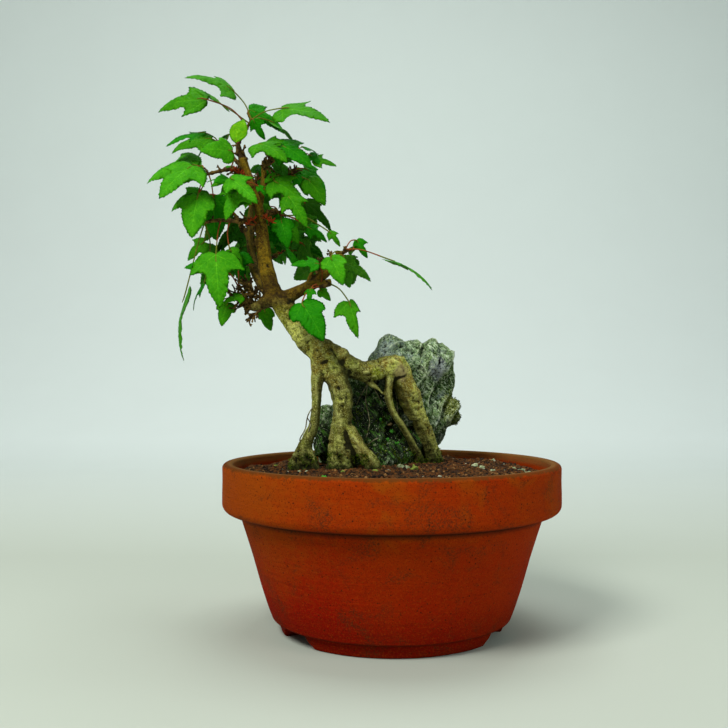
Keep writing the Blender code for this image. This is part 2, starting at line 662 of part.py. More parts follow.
def grow_leaf(leaf, others):
    """The blade and petiole of one leaf, moved a little in depth where it would touch another solid."""
    at, base, tip, facing, roll = leaf
    for depth in DEPTH_TRIES:
        shift = Vector((0.0, depth, 0.0))
        grown_points, grown_faces, inside = leaf_shape(base + shift, tip + shift, facing, roll, LEAF_CLEARANCE)
        stalk = petiole_line(at, inside)
        grown_stalk = swept([(x, y, z, r + LEAF_CLEARANCE) for x, y, z, r in stalk], 4)
        if is_clear([(grown_points, grown_faces), grown_stalk], others):
            points, faces, inside = leaf_shape(base + shift, tip + shift, facing, roll)
            return (points, faces), swept(petiole_line(at, inside), 3)
    return None


def spray_stem(name, limbs):
    """A spray's stem, cut clear of the limb that it grows on."""
    rule = SPRAYS[name]
    line = smooth_line(stem_line(rule["stem"]), STEM_STEP)
    item = add_object(name, *swept(line, STEM_SIDES), material(name + "_green", (0.16, 0.42, 0.03), 0.5))
    cut_clear(item, [limbs[rule["limb"]]])
    keep_largest_body(item)
    return item


def fuse_leaves(item, others):
    """Fuse every leaf of a spray that has room onto its stem."""
    rule = SPRAYS[item.name]
    stem = stem_line(rule["stem"])
    leaves = leading_leaves(stem, rule["facing"], rule["leading"])
    leaves += seeded_leaves(item.name, stem, rule["facing"], rule["seeded"])
    group = bpy.data.collections.new("leaves")
    for leaf in leaves:
        grown_leaf = grow_leaf(leaf, others)
        if grown_leaf:
            for shape in grown_leaf:
                add_object("leaf", *shape, None, group)
    bpy.context.scene.collection.children.link(group)
    boolean(item, "UNION", collection=group)
    keep_largest_body(item)


def build():
    """Make every part of the plant."""
    clear_scene()
    bark = (0.24, 0.17, 0.09)
    root_bark = (0.30, 0.25, 0.12)
    roots = [TRUNK, ROOT_LEFT, ROOT_ARCH, ROOT_RIGHT, ROOT_INNER]
    limbs = {"leader": LEADER, "spur_right": SPUR_RIGHT, "rear_stem": REAR_STEM,
             "bough_right": BOUGH_RIGHT, "bough_left": BOUGH_LEFT}
    solids = [
        pot(material("pot_terracotta", (0.52, 0.17, 0.08), 0.85)),
        soil(material("soil_granules", (0.20, 0.08, 0.04), 0.95)),
        limb("trunk", [TRUNK, TRUNK_SIDE_FOOT], material("trunk_bark", root_bark, 0.85), foot=True),
        limb("root_left", [ROOT_LEFT, ROOT_LEFT_SIDE], material("root_left_bark", root_bark, 0.85),
             [TRUNK], True),
        limb("root_arch", [ROOT_ARCH], material("root_arch_bark", root_bark, 0.85), [TRUNK, ROOT_LEFT]),
        limb("root_right", [ROOT_RIGHT], material("root_right_bark", root_bark, 0.85), [ROOT_ARCH], True),
        limb("root_inner", [ROOT_INNER], material("root_inner_bark", root_bark, 0.85),
             [ROOT_ARCH, ROOT_RIGHT], True),
        rock(material("rock_stone", (0.13, 0.16, 0.13), 0.9), roots),
        limb("leader", [LEADER], material("leader_bark", bark, 0.85), [TRUNK]),
        limb("bough_right", [BOUGH_RIGHT], material("bough_right_bark", bark, 0.85), [TRUNK, LEADER]),
        limb("bough_left", [BOUGH_LEFT], material("bough_left_bark", bark, 0.85), [TRUNK, LEADER]),
        limb("rear_stem", [REAR_STEM], material("rear_stem_bark", bark, 0.85),
             [TRUNK, LEADER, BOUGH_RIGHT, BOUGH_LEFT]),
        limb("spur_right", [SPUR_RIGHT], material("spur_right_bark", bark, 0.85), [LEADER]),
    ]
    stems = [spray_stem(name, limbs) for name in SPRAYS]
    trees = {item.name: object_tree(item) for item in solids + stems}
    for item in stems:
        fuse_leaves(item, [tree for name, tree in trees.items() if name != item.name])
        trees[item.name] = object_tree(item)


build()
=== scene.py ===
"""Looks of the maple bonsai: its bark, leaves, rock, soil and pot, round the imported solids.

Places are in millimetres from the pot's axis, at the level of its feet.  They become metres in the part's own
frame when a mesh is made.
"""
import math
import random

import bmesh
import bpy
import numpy as np
from mathutils import Matrix, Vector, noise
from mathutils.bvhtree import BVHTree
from mathutils.geometry import delaunay_2d_cdt


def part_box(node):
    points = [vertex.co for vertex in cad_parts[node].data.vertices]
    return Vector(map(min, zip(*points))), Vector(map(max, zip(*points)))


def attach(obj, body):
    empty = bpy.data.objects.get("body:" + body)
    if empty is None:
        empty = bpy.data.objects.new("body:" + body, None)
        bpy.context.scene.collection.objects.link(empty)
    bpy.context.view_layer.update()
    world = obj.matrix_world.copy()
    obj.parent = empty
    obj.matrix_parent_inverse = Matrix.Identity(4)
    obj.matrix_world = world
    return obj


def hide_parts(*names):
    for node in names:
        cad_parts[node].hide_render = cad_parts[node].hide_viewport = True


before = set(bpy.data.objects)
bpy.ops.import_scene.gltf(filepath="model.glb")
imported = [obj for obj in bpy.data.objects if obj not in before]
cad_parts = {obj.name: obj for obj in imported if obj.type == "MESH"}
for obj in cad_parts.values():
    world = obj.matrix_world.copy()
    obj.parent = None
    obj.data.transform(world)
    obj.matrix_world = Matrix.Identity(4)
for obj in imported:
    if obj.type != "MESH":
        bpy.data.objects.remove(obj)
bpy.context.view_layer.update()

MM = 0.001
pot_low, pot_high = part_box("pot")
AXIS = Vector(((pot_low.x + pot_high.x) / 2, (pot_low.y + pot_high.y) / 2, 0.0)) / MM

# Pot
RIM_RADIUS = 92.5
POT_HEIGHT = 91.0
COLLAR_BOTTOM = 65.5
WALL = 6.0
SHOULDER_RADIUS = 82.5
BODY_BOTTOM_RADIUS = 65.5
FOOT_HEIGHT = 7.0
FOOT_OUTER = 60.5
FOOT_INNER = 52.0
FLOOR_TOP = 15.0
DRAIN_RADIUS = 12.0
POT_SEGMENTS = 180
NOTCH_BEARINGS = (-146.0, -26.0, 94.0)
NOTCH_WIDTH = 24.0

# Soil
SOIL_LEVEL = 89.0
SOIL_RADIUS = 85.6
BED_DEPTH = 0.3
FINE_GRANULES = 9000
COARSE_GRANULES = 1800

# Limbs: points on the centre line, each with the limb's radius there
TRUNK = [(-25, -17, 80, 10.0), (-26, -16, 93, 8.0), (-27.4, -15, 103, 6.5), (-26.6, -14, 119, 5.5),
         (-29.2, -13, 135, 6.2), (-36, -12, 148, 7.8), (-46, -12, 159, 7.0), (-56, -12, 172, 5.9),
         (-64, -12, 182.5, 5.3), (-66, -12.4, 188, 4.8)]
TRUNK_SIDE_FOOT = [(-7, -23, 80, 5.4), (-10, -22, 90, 4.6), (-16, -19, 99, 3.8), (-23, -16, 110, 3.6)]
ROOT_LEFT = [(-50, -16, 80, 7.0), (-48.2, -16, 94, 5.2), (-45.6, -15.5, 103, 3.6), (-42, -15, 112, 2.8),
             (-40.6, -14.5, 123, 2.6), (-40.4, -14, 134, 3.1), (-39.8, -13.5, 144, 4.3), (-39, -13, 153, 5.4)]
ROOT_LEFT_SIDE = [(-40.5, -20, 82, 2.4), (-41.5, -19, 92, 2.0), (-45.5, -16.5, 102, 1.8)]
ROOT_ARCH = [(-38, -11, 150, 7.5), (-31.5, -9.5, 148, 8.0), (-24.5, -8, 144, 6.6), (-16, -6, 141, 5.8),
             (-8, -4, 141.6, 5.8), (0, -1, 144, 6.0), (5, 1, 142, 5.6)]
ROOT_RIGHT = [(25.8, 16, 80, 5.6), (24.8, 15.5, 90, 4.7), (22, 13.5, 99.5, 4.5), (18.2, 11, 109, 5.2),
              (13.2, 7.5, 119, 6.0), (9.4, 5, 129, 6.5), (5.8, 3.5, 138, 6.6), (1.5, 2.5, 147, 5.8)]
ROOT_INNER = [(18.5, 12, 80, 3.0), (16.6, 11, 91, 2.5), (13.5, 9, 97.5, 2.2), (10, 6.5, 104, 2.1),
              (6, 4, 111, 2.1), (1.2, 0, 118, 2.1), (-1.4, -3, 126, 2.1),
              (-1.2, -4, 134, 2.3), (0, -3, 141, 2.6)]
LEADER = [(-63.5, -12.5, 180, 5.4), (-67, -13, 193, 4.5), (-69.3, -14, 205, 4.0), (-70.4, -14, 216, 3.5),
          (-71.6, -14, 227, 3.0), (-74.4, -14, 237, 2.7), (-78.4, -13.5, 248, 2.4), (-80.6, -13, 256.5, 2.2)]
SPUR_RIGHT = [(-72, -13, 231, 2.4), (-71, -10, 237, 1.9), (-70, -8.5, 243, 1.7), (-69.8, -8, 249, 1.5),
              (-70.6, -8, 253.5, 1.2)]
REAR_STEM = [(-64, -10, 181, 4.2), (-71, -3, 190, 3.5), (-77, 3, 202, 3.0), (-79, 7, 215, 2.5),
             (-79.5, 10, 227, 2.1), (-79, 12, 236, 1.7)]
BOUGH_RIGHT = [(-60, -12, 179, 4.4), (-52, -12, 183.5, 3.5), (-43, -12, 188, 3.0), (-35, -12, 195, 2.5),
               (-28, -12, 203, 2.1)]
BOUGH_LEFT = [(-62, -11.5, 180, 4.2), (-69, -11, 177.5, 3.2), (-75, -10.5, 176, 2.7), (-80, -10, 178, 2.2)]
LIMBS = {"trunk": TRUNK, "trunk_side_foot": TRUNK_SIDE_FOOT, "root_left": ROOT_LEFT,
         "root_left_side": ROOT_LEFT_SIDE, "root_arch": ROOT_ARCH, "root_right": ROOT_RIGHT,
         "root_inner": ROOT_INNER, "leader": LEADER, "spur_right": SPUR_RIGHT, "rear_stem": REAR_STEM,
         "bough_right": BOUGH_RIGHT, "bough_left": BOUGH_LEFT}
LIMB_NODES = ("trunk", "root_left", "root_arch", "root_right", "root_inner", "leader", "spur_right", "rear_stem",
              "bough_right", "bough_left")
LIMB_LUMPS = 0.16
BARK_GRAIN = 0.55
# Painted shade where wood, rock and soil hem each other in, and on the low sides of the roots that turn away from
# outside
HEMMED_CELL = 1.5
HEMMED_BLUR = 8
HEMMED_OFFSET = 3.5
ROOTS_MIDDLE = (-12.0, 10.0)

# Rock: rounded lobes, each a centre and three half-widths
ROCK_LOBES = [((5, 26, 116), (24, 20, 34)), ((1, 23, 143), (13, 16, 18)), ((12, 27, 142), (9, 14, 17)),
              ((24, 30, 141), (13.5, 18, 18)), ((22, 31, 117), (13.5, 17, 20)),
              ((33.5, 27, 116), (7, 9, 8.5)),
              ((-20, 13, 104), (20, 20, 23)), ((-36, 9, 104), (7.5, 12, 17)), ((-14, 18, 92), (28, 24, 17)),
              ((6, 32, 92), (23, 17, 16)), ((-12, 17, 127), (15, 16, 17))]
ROCK_HOLLOWS = [((29, 13, 132), 6.5, 4.5), ((19, 12, 128), 5.0, 2.5), ((-8, -2, 110), 10.0, 3.5)]
ROCK_GRAIN = 0.7
PLATE_ACROSS = Vector((0.80, 0.15, -0.58))
PLATE_WIDTH = 10.5
PLATE_RISE = 0.75
PLATE_RELIEF = 3.0
PLATE_PATCH_SIZE = 17.0
BEND_SIZE = 22.0
BEND_REACH = 7.0
LUMP_SIZE = 11.0
LUMP_RELIEF = 3.0

# Leaves, by the source's rule
LEAF_CAMBER = 0.09
LEAF_FOLD = 0.22
PETIOLE_SINK = 0.16
DEPTH_TRIES = (0.0, -3.0, 3.0, -6.0, 6.0, -9.0, 9.0)
STEM_RADII = (1.3, 0.8)
LEAF_CORNERS = ((0.0, 1.0), (0.45, 0.31), (-0.45, 0.31))
FRONT = Vector((0.0, -0.85, 0.55))
REAR = Vector((0.0, 0.85, 0.55))
SKY = Vector((0.0, -0.66, 0.75))

# Sprays: the side their leaves face, how many leaves the seeded rule adds and in which tones, the stem's centre
# line, and the leading leaves.  A leading leaf is where its blade starts (x, y, z), where its tip is (x, y, z),
# its roll about its own length in degrees, its form and its tone.
SPRAYS = {
    "leaves_apex": dict(
        facing=SKY, seeded=1, tones=("mid",),
        stem=[(-80.6, -12, 254), (-84, -10, 262.5), (-82, -9, 269), (-76.5, -10, 278)],
        leading=[
            (-86, -14, 293, -110, -26, 297, 0, "broad", "mid"), (-101, -12, 289, -130, -2, 285, -15, "narrow", "mid"),
            (-95, -4, 289, -108, 12, 300, 40, "broad", "mid"), (-84, -20, 263, -80, -17, 277, 0, "egg", "lime"),
            (-79, -2, 286, -59, 10, 276, 20, "narrow", "deep"), (-60, -12, 284, -33, -22, 274, 0, "broad", "mid"),
            (-75, -14, 277, -69, -10, 267, 60, "narrow", "deep")]),
    "leaves_upper_left": dict(
        facing=SKY, seeded=1, tones=("deep",),
        stem=[(-79.4, -13, 250), (-86, -8, 257), (-94, -4, 264)],
        leading=[
            (-99, -6, 269, -121, -8, 261, 0, "oval", "mid"), (-101, 2, 270, -110, 6, 258, 20, "narrow", "deep"),
            (-91, 4, 274, -101, 10, 267, 30, "narrow", "dark")]),
    "leaves_upper_right": dict(
        facing=SKY, seeded=0, tones=("mid",),
        stem=[(-70.2, -8, 252), (-65, -9, 257), (-57, -9, 258.5), (-50, -10, 257)],
        leading=[
            (-68, -2, 266, -49, 4, 268, 0, "broad", "mid"), (-60, -14, 263, -42, -18, 250, 10, "broad", "deep"),
            (-72, -18, 263, -55, -28, 251, 0, "broad", "mid"), (-43, -8, 257, -30, -4, 254, 20, "narrow", "mid")]),
    "leaves_left": dict(
        facing=FRONT, seeded=0, tones=("mid",),
        stem=[(-77.2, -13.5, 244.5), (-83, -12, 250), (-90, -11, 250.5), (-102, -10, 248)],
        leading=[
            (-107, -18, 251, -122, -33, 231, 0, "broad", "bright"),
            (-107, -5, 254, -137, 2, 246, 10, "broad", "bright"),
            (-106, -2, 240, -124, 6, 231, 0, "narrow", "bright"),
            (-104, -18, 236, -106, -26, 211, 0, "oval", "bright"),
            (-98, -5, 237, -98, 4, 214, 0, "oval", "deep"),
            (-85, -19, 258, -101, -28, 256, -25, "oval", "bright")]),
    "leaves_front": dict(
        facing=FRONT, seeded=0, tones=("bright",),
        stem=[(-73.6, -14, 234.5), (-78, -18, 239), (-83, -21, 243)],
        leading=[
            (-86, -27, 243, -70, -35, 227, 0, "narrow", "bright"), (-81, -23, 237, -88, -29, 220, 0, "broad", "bright"),
            (-75, -20, 233, -87, -17, 225, 25, "broad", "mid"), (-88, -19, 243, -96, -26, 238, 0, "narrow", "mid")]),
    "leaves_right": dict(
        facing=FRONT, seeded=1, tones=("deep",),
        stem=[(-70.2, -8.5, 241.5), (-65, -8, 245.5), (-57, -8, 246.5)],
        leading=[
            (-64, -14, 244, -47, -17, 230, 0, "broad", "mid"), (-56, -18, 235, -45, -23, 217, 0, "narrow", "mid"),
            (-54, -3, 253, -46, -1, 238, 0, "narrow", "bright"), (-46, -8, 246, -36, -6, 232, 0, "oval", "mid"),
            (-71, -1, 256, -70, -8, 246, 0, "oval", "dark")]),
    "leaves_lower_right": dict(
        facing=FRONT, seeded=0, tones=("deep",),
        stem=[(-71.2, -14, 223), (-66, -10, 227), (-58, -8, 226)],
        leading=[
            (-60, -13, 223, -56, -16, 207, 0, "oval", "deep"), (-58, -6, 223, -51, -4, 211, 10, "oval", "mid"),
            (-68, 0, 222, -61, 5, 212, 0, "broad", "dark"), (-66, 6, 219, -62, 9, 208, 0, "broad", "dark"),
            (-46, -7, 220, -35, -4, 212, 0, "narrow", "deep"), (-34, -9, 217, -28, -7, 209, 0, "narrow", "mid")]),
    "leaves_lower_left": dict(
        facing=FRONT, seeded=0, tones=("mid",),
        stem=[(-71, -14, 220.5), (-82, -12, 222), (-93, -10.5, 223), (-102, -10, 222)],
        leading=[
            (-94, -21, 203, -91, -27, 174, 0, "broad", "bright"), (-88, -13, 207, -81, -12, 198, 0, "oval", "mid"),
            (-103, -5, 212, -113, -1, 202, 0, "broad", "mid"), (-111, -15, 184, -112, -15, 145, 78, "broad", "mid"),
            (-104, 3, 190, -112, 8, 175, 50, "narrow", "dark")]),
    "leaves_low": dict(
        facing=FRONT, seeded=2, tones=("deep", "dark"),
        stem=[(-78.5, -10, 177.5), (-80, -12, 183), (-83, -12, 186)],
        leading=[
            (-84, -7, 205, -82, -3, 188, 20, "broad", "dark"), (-89, -11, 178, -92, -14, 165, 0, "oval", "mid"),
            (-80, -17, 181, -90, -23, 177, 0, "narrow", "mid"), (-70, -2, 175, -67, 2, 163, 30, "oval", "mid")]),
    "leaves_bough_tip": dict(
        facing=FRONT, seeded=0, tones=("mid",),
        stem=[(-28.6, -12, 202.5), (-25, -12, 207)],
        leading=[
            (-33, -20, 202, -26, -25, 186, 0, "oval", "bright"), (-3, -12, 202, 22, -18, 184, -52, "narrow", "mid"),
            (-19, -6, 213, -13, -4, 203, 30, "narrow", "deep")]),
    "leaves_bough_low": dict(
        facing=FRONT, seeded=0, tones=("mid",),
        stem=[(-43, -12, 188), (-38.5, -16, 186.5), (-33, -17, 187.5)],
        leading=[
            (-39, -17, 198, -54, -21, 197, 0, "narrow", "deep"), (-23, -18, 178, -18, -21, 158, 0, "lopsided", "mid"),
            (-48, -26, 177, -36, -33, 156, 0, "oval", "deep"), (-39, -10, 185, -33, -8, 179, 0, "oval", "mid")]),
    "leaves_rear_top": dict(
        facing=REAR, seeded=6, tones=("mid", "deep"),
        stem=[(-79.1, 11.5, 234.5), (-78, 16, 248), (-74, 20, 259)],
        leading=[]),
    "leaves_rear_left": dict(
        facing=REAR, seeded=6, tones=("mid", "bright"),
        stem=[(-79, 6.5, 214), (-88, 15, 229), (-96, 19, 238)],
        leading=[]),
    "leaves_rear_right": dict(
        facing=REAR, seeded=6, tones=("mid", "deep"),
        stem=[(-78.5, 5, 210), (-67, 13, 226), (-58, 17, 238)],
        leading=[]),
    "leaves_rear_middle": dict(
        facing=REAR, seeded=9, tones=("bright", "mid"),
        stem=[(-79.5, 9.5, 225), (-78, 22, 223), (-77, 35, 221)],
        leading=[]),
    "leaves_rear_low_left": dict(
        facing=REAR, seeded=8, tones=("mid", "deep"),
        stem=[(-75.5, 1.5, 199), (-86, 11, 204), (-95, 17, 206)],
        leading=[]),
    "leaves_rear_low_right": dict(
        facing=REAR, seeded=8, tones=("mid", "deep"),
        stem=[(-76.5, 2.5, 201), (-67, 13, 206), (-60, 19, 212)],
        leading=[]),
    "leaves_rear_bough": dict(
        facing=REAR, seeded=6, tones=("bright", "mid"),
        stem=[(-42, -12, 188.8), (-40, -2, 194), (-36, 9, 198)],
        leading=[]),
}

# Half outlines of the blade for a length of 1: from the stalk out to the side lobe's tip, and on to the leaf's tip
LEAF_FORMS = {
    "broad": ([(0.0, 0.0), (0.06, -0.045), (0.16, -0.06), (0.28, -0.015), (0.385, 0.09), (0.445, 0.21),
               (0.485, 0.34)],
              [(0.485, 0.34), (0.37, 0.315), (0.265, 0.33), (0.20, 0.385), (0.20, 0.49), (0.18, 0.63), (0.125, 0.78),
               (0.055, 0.91), (0.0, 1.0)]),
    "narrow": ([(0.0, 0.0), (0.05, -0.025), (0.13, -0.015), (0.22, 0.05), (0.285, 0.14), (0.335, 0.25), (0.385, 0.40)],
               [(0.385, 0.40), (0.28, 0.35), (0.195, 0.355), (0.145, 0.42), (0.155, 0.55), (0.13, 0.70),
                (0.08, 0.85), (0.03, 0.95), (0.0, 1.0)]),
    "oval": ([(0.0, 0.0), (0.07, -0.04), (0.18, -0.035), (0.30, 0.04), (0.375, 0.16), (0.395, 0.27), (0.375, 0.37)],
             [(0.375, 0.37), (0.315, 0.375), (0.265, 0.41), (0.255, 0.51), (0.225, 0.64), (0.165, 0.77),
              (0.08, 0.91), (0.0, 1.0)]),
    "egg": ([(0.0, 0.0), (0.05, 0.01), (0.14, 0.07), (0.24, 0.18), (0.31, 0.30), (0.345, 0.44)],
            [(0.345, 0.44), (0.315, 0.56), (0.25, 0.70), (0.17, 0.82), (0.08, 0.92), (0.0, 1.0)]),
}
LEAF_STEP = 0.036
LEAF_TEETH = 0.014
LEAF_GRID = 0.075
LEAF_HALF_THICKNESS = 0.2
SMALL_TWIGS = 9
SMALL_REACH = 3.0
VEIN_PUFF = 0.016

# Finer growth: tangles of bare twigs as a start, a middle, a spread and a count; red bud scales, and knots of wood
TANGLES = [((-74, -12, 177), (-84, -13, 181), 7.5, 74), ((-71, -13, 180), (-79, -15, 188), 6.0, 50),
           ((-40, -12, 190), (-39, -12, 198), 5.0, 16), ((-31, -12, 200), (-33, -11, 205), 3.5, 8),
           ((-70, -13, 175), (-77, -14, 169), 4.0, 22), ((-70, -14, 250), (-66, -12, 254), 5.0, 12),
           ((-77, -13, 245), (-86, -12, 250), 5.0, 14), ((-57, -8, 246), (-52, -9, 250), 4.0, 10),
           ((-78, -11, 256), (-84, -9, 263), 5.0, 12), ((-72, -14, 222), (-64, -14, 228), 5.0, 12),
           ((-73, -14, 222), (-84, -12, 223), 5.0, 12)]
BUD_CLUSTERS = [(-74.5, -17, 222), (-77, -16, 220), (-67.5, -17, 222.5), (-65, -16, 221), (-85, -14, 249.5),
                (-82, -15, 247.5), (-79.5, -16.5, 246)]
KNOTS = [((-70.6, -16.6, 222), 1.7), ((-68.4, -16.0, 201), 1.3), ((-66.0, -15.6, 190), 1.5), ((-72.8, -16.0, 233), 1.2),
         ((-57.5, -16.6, 176), 2.0), ((-50, -14.4, 184), 1.5), ((-42, -14, 189), 1.3), ((-35, -13.4, 195), 1.4),
         ((-28, -12.5, 203), 2.2), ((-26.6, -12, 201), 1.6), ((-29.4, -12, 205.4), 1.5), ((-33.5, -17.5, 148), 3.0),
         ((-39, -16.5, 152), 2.6), ((-26.5, -18.5, 124), 2.0), ((-50.5, -18.5, 96), 2.6), ((-27, -21, 98), 3.0),
         ((3.5, -2.2, 141), 2.6), ((-14, -10.5, 140), 2.2), ((-67, -13.5, 179), 4.6),
         ((-73, -12.5, 176), 3.4), ((-61, -14.5, 178), 4.0), ((-28.5, -12.5, 149.5), 5.2)]
STUBS = [((-43, -13, 188.5, 2.2), (-38, -15, 187.6, 2.0), (-32.6, -15.5, 188.6, 1.9)),
         ((-71, -9, 238, 1.6), (-66, -10, 242, 1.3), (-62, -11, 243, 1.1)),
         ((-46, -12, 186.8, 1.5), (-43.5, -14, 193, 1.2), (-41.5, -15, 196.5, 1.0))]
HANGING_ROOTS = [[(-41.5, -15.5, 123), (-45.0, -18.0, 117), (-46.4, -18.6, 110), (-49.2, -18.2, 104.5),
                  (-48.5, -16.5, 101.5)],
                 [(-45.4, -18.2, 116), (-43.6, -18.4, 112.5), (-44.6, -18.2, 108), (-43.8, -15.5, 104)]]
LAID_ROOTS = [[(-19, 122), (-17, 127), (-14, 132), (-12, 136)], [(-20, 94), (-16, 98), (-11, 102), (-7, 104)],
              [(2, 132), (6, 124), (10, 118), (12, 115)], [(-8, 137), (-9, 131), (-7, 127), (-5, 122)],
              [(0, 139), (3, 128), (4, 117), (7, 108)], [(-13, 134), (-14, 124), (-12, 113), (-14, 104)]]
SIDE_ROOTS = [((-15, -4.5, 137, 1.3), (-11, -6, 134, 1.6), (-7, -5.5, 131, 1.2), (-4.5, -4, 128, 0.6)),
              ((-45.5, -17, 99, 1.6), (-43.5, -18.5, 94, 1.4), (-42.5, -19.5, 88, 1.3))]
PEBBLES = [((4.6, -14), 2.7, "pale"), ((8.0, -16), 2.1, "pale"), ((11.5, -23), 3.3, "moss"), ((45.6, -7), 2.5, "pale"),
           ((49.0, -10), 1.9, "pale"), ((70.0, -13), 2.1, "pale"), ((66.5, -10), 1.7, "pale"), ((73, -18), 1.6, "pale"),
           ((-49.0, -27), 1.5, "pale"), ((-45.0, -28), 1.3, "pale"), ((-26, -33), 1.5, "moss"), ((-34, -34), 1.2, "pale"),
           ((-9, -33), 1.7, "moss"), ((52, -30), 1.5, "pale"), ((60, 25), 1.8, "pale"), ((-40, 40), 2.0, "pale"),
           ((15, 62), 2.2, "pale"), ((-64, 5), 1.6, "moss"), ((-12, 58), 1.8, "moss")]
ROCK_CHIPS = [((-0.5, 111), 2.0, "tan"), ((-8.5, 126), 0.9, "pale"), ((-9, 100), 1.2, "pale"), ((-10, 95), 1.2, "pale"),
              ((31, 107.7), 0.9, "pale"), ((4.7, 102), 1.0, "pale"), ((-3, 97), 0.8, "moss"), ((9, 97), 0.9, "pale")]
WEEDS = [((1.0, 106), 6, 2.0), ((2.6, 100), 6, 2.0), ((-5.5, 113), 3, 1.6), ((-1.5, 102), 4, 1.4)]
SPROUT = (-34.0, -70.0)
MOSS_TUFTS = 1600

# Leaf tones, partly the leaves' own colours and partly painted light: bright mostly on lit leaves at the left and
# front, deep and dark as painted shade mostly on leaves low, inside and towards the back of the crown.
TONES = {"lime": (0.135, 0.42, 0.004), "bright": (0.060, 0.345, 0.006), "mid": (0.046, 0.262, 0.003),
         "deep": (0.018, 0.230, 0.002), "dark": (0.009, 0.170, 0.001)}


def smooth_line(points, step):
    """Points about one step apart on a smooth curve through the given ones, radius included."""
    line = [Vector(p) for p in points]
    line.insert(0, line[0] * 2 - line[1])
    line.append(line[-1] * 2 - line[-2])
    made = []
    for a, b, c, d in zip(line, line[1:], line[2:], line[3:]):
        count = max(1, round((c - b).length / step))
        for k in range(count):
            t = k / count
            made.append(0.5 * (2 * b + (c - a) * t + (2 * a - 5 * b + 4 * c - d) * t * t
                               + (3 * b - a - 3 * c + d) * t ** 3))
    made.append(line[-2])
    return made


def value_noise(points, seed=0):
    """Smooth noise from -1 to 1 at an array of places, one unit to a cell."""
    points = np.asarray(points, float)
    cell = np.floor(points).astype(np.int64)
    part = points - cell
    part = part * part * (3.0 - 2.0 * part)
    total = np.zeros(len(points))
    for corner in range(8):
        step = np.array([(corner >> k) & 1 for k in range(3)])
        at = cell + step
        mixed = at[:, 0] * 374761393 + at[:, 1] * 668265263 + at[:, 2] * 2147483647 + seed * 974634777
        mixed = ((mixed ^ (mixed >> 13)) * 1274126177) & 0x7FFFFFFF
        value = ((mixed ^ (mixed >> 16)) & 0xFFFF) / 32767.5 - 1.0
        total += value * np.prod(np.where(step, part, 1.0 - part), axis=1)
    return total


def fractal(points, octaves, seed=0):
    """Noise in several octaves, each half as strong and twice as fine as the last."""
    points = np.asarray(points, float)
    return sum(value_noise(points * 2.0 ** k + 17.3 * k, seed + k) * 0.5 ** k for k in range(octaves))


def swept(line, sides, lumps=0.0):
    """Points and faces of a round limb along a line of places with their radii, closed at both ends."""
    places = [Vector(p[:3]) for p in line]
    across = Vector((1.0, 0.0, 0.0))
    rings = []
    radii = []
    for k, place in enumerate(places):
        along = (places[min(k + 1, len(places) - 1)] - places[max(k - 1, 0)]).normalized()
        if abs(across.dot(along)) > 0.95:
            across = Vector((0.0, 1.0, 0.0))
        across = (across - along * across.dot(along)).normalized()
        other = along.cross(across)
        for s in range(sides):
            turn = 2 * math.pi * s / sides
            rings.append((place, math.cos(turn) * across + math.sin(turn) * other))
            radii.append(line[k][3])
    centres = np.array([r[0] for r in rings])
    outward = np.array([r[1] for r in rings])
    swell = 1.0 + lumps * value_noise(centres * 0.11 + outward * 0.9)
    points = centres + outward * (np.array(radii) * swell)[:, None]
    faces = []
    for k in range(len(places) - 1):
        for s in range(sides):
            t = (s + 1) % sides
            faces.append((k * sides + s, k * sides + t, (k + 1) * sides + t, (k + 1) * sides + s))
    faces.append(tuple(reversed(range(sides))))
    faces.append(tuple(range(len(points) - sides, len(points))))
    return points, faces


def revolved(profile, segments):
    """Points and faces of a closed profile of (radius, height) turned about the upright axis."""
    turns = np.arange(segments) * 2 * np.pi / segments
    r = np.array([p[0] for p in profile])
    z = np.array([p[1] for p in profile])
    points = np.stack([np.outer(np.cos(turns), r), np.outer(np.sin(turns), r),
                       np.broadcast_to(z, (segments, len(z)))], axis=-1).reshape(-1, 3)
    faces = []
    count = len(profile)
    for s in range(segments):
        t = (s + 1) % segments
        for k in range(count):
            n = (k + 1) % count
            faces.append((s * count + k, t * count + k, t * count + n, s * count + n))
    return points, faces


class Heap:
    """Shapes gathered into one mesh, each with the number of its material."""

    def __init__(self):
        self.points = []
        self.faces = []
        self.slots = []
        self.count = 0

    def add(self, points, faces, slot=0):
        """Add one shape.  slot is one number, or one for each face."""
        self.points.append(np.asarray(points, float))
        self.faces += [tuple(i + self.count for i in face) for face in faces]
        self.slots += [slot] * len(faces) if isinstance(slot, int) else list(slot)
        self.count += len(points)

    def mesh(self, name, materials):
        """The gathered mesh in the part's frame, in metres."""
        made = bpy.data.meshes.new(name)
        places = (np.concatenate(self.points) + np.array(AXIS)) * MM
        made.from_pydata([tuple(p) for p in places], [], self.faces)
        for one in materials:
            made.materials.append(one)
        made.polygons.foreach_set("material_index", self.slots)
        made.polygons.foreach_set("use_smooth", [True] * len(self.faces))
        made.update()
        return made


def add_piece(name, mesh, nodes=()):
    """Show a mesh as a piece of the plant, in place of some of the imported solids."""
    piece = bpy.data.objects.new(name, mesh)
    bpy.context.scene.collection.objects.link(piece)
    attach(piece, "root")
    if nodes:
        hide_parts(*nodes)
    return piece


def mesh_places(mesh):
    """A mesh's points as an array, in millimetres from the pot's axis."""
    flat = np.empty(len(mesh.vertices) * 3)
    mesh.vertices.foreach_get("co", flat)
    return flat.reshape(-1, 3) / MM - np.array(AXIS)


def set_places(mesh, places):
    """Move a mesh's points to places in millimetres from the pot's axis."""
    mesh.vertices.foreach_set("co", ((places + np.array(AXIS)) * MM).ravel())
    mesh.update()


def mesh_normals(mesh):
    """A mesh's point normals as an array."""
    flat = np.empty(len(mesh.vertices) * 3)
    mesh.vertices.foreach_get("normal", flat)
    return flat.reshape(-1, 3)


def mesh_edges(mesh):
    """A mesh's edges as an array of pairs of point numbers."""
    flat = np.empty(len(mesh.edges) * 2, np.int64)
    mesh.edges.foreach_get("vertices", flat)
    return flat.reshape(-1, 2)


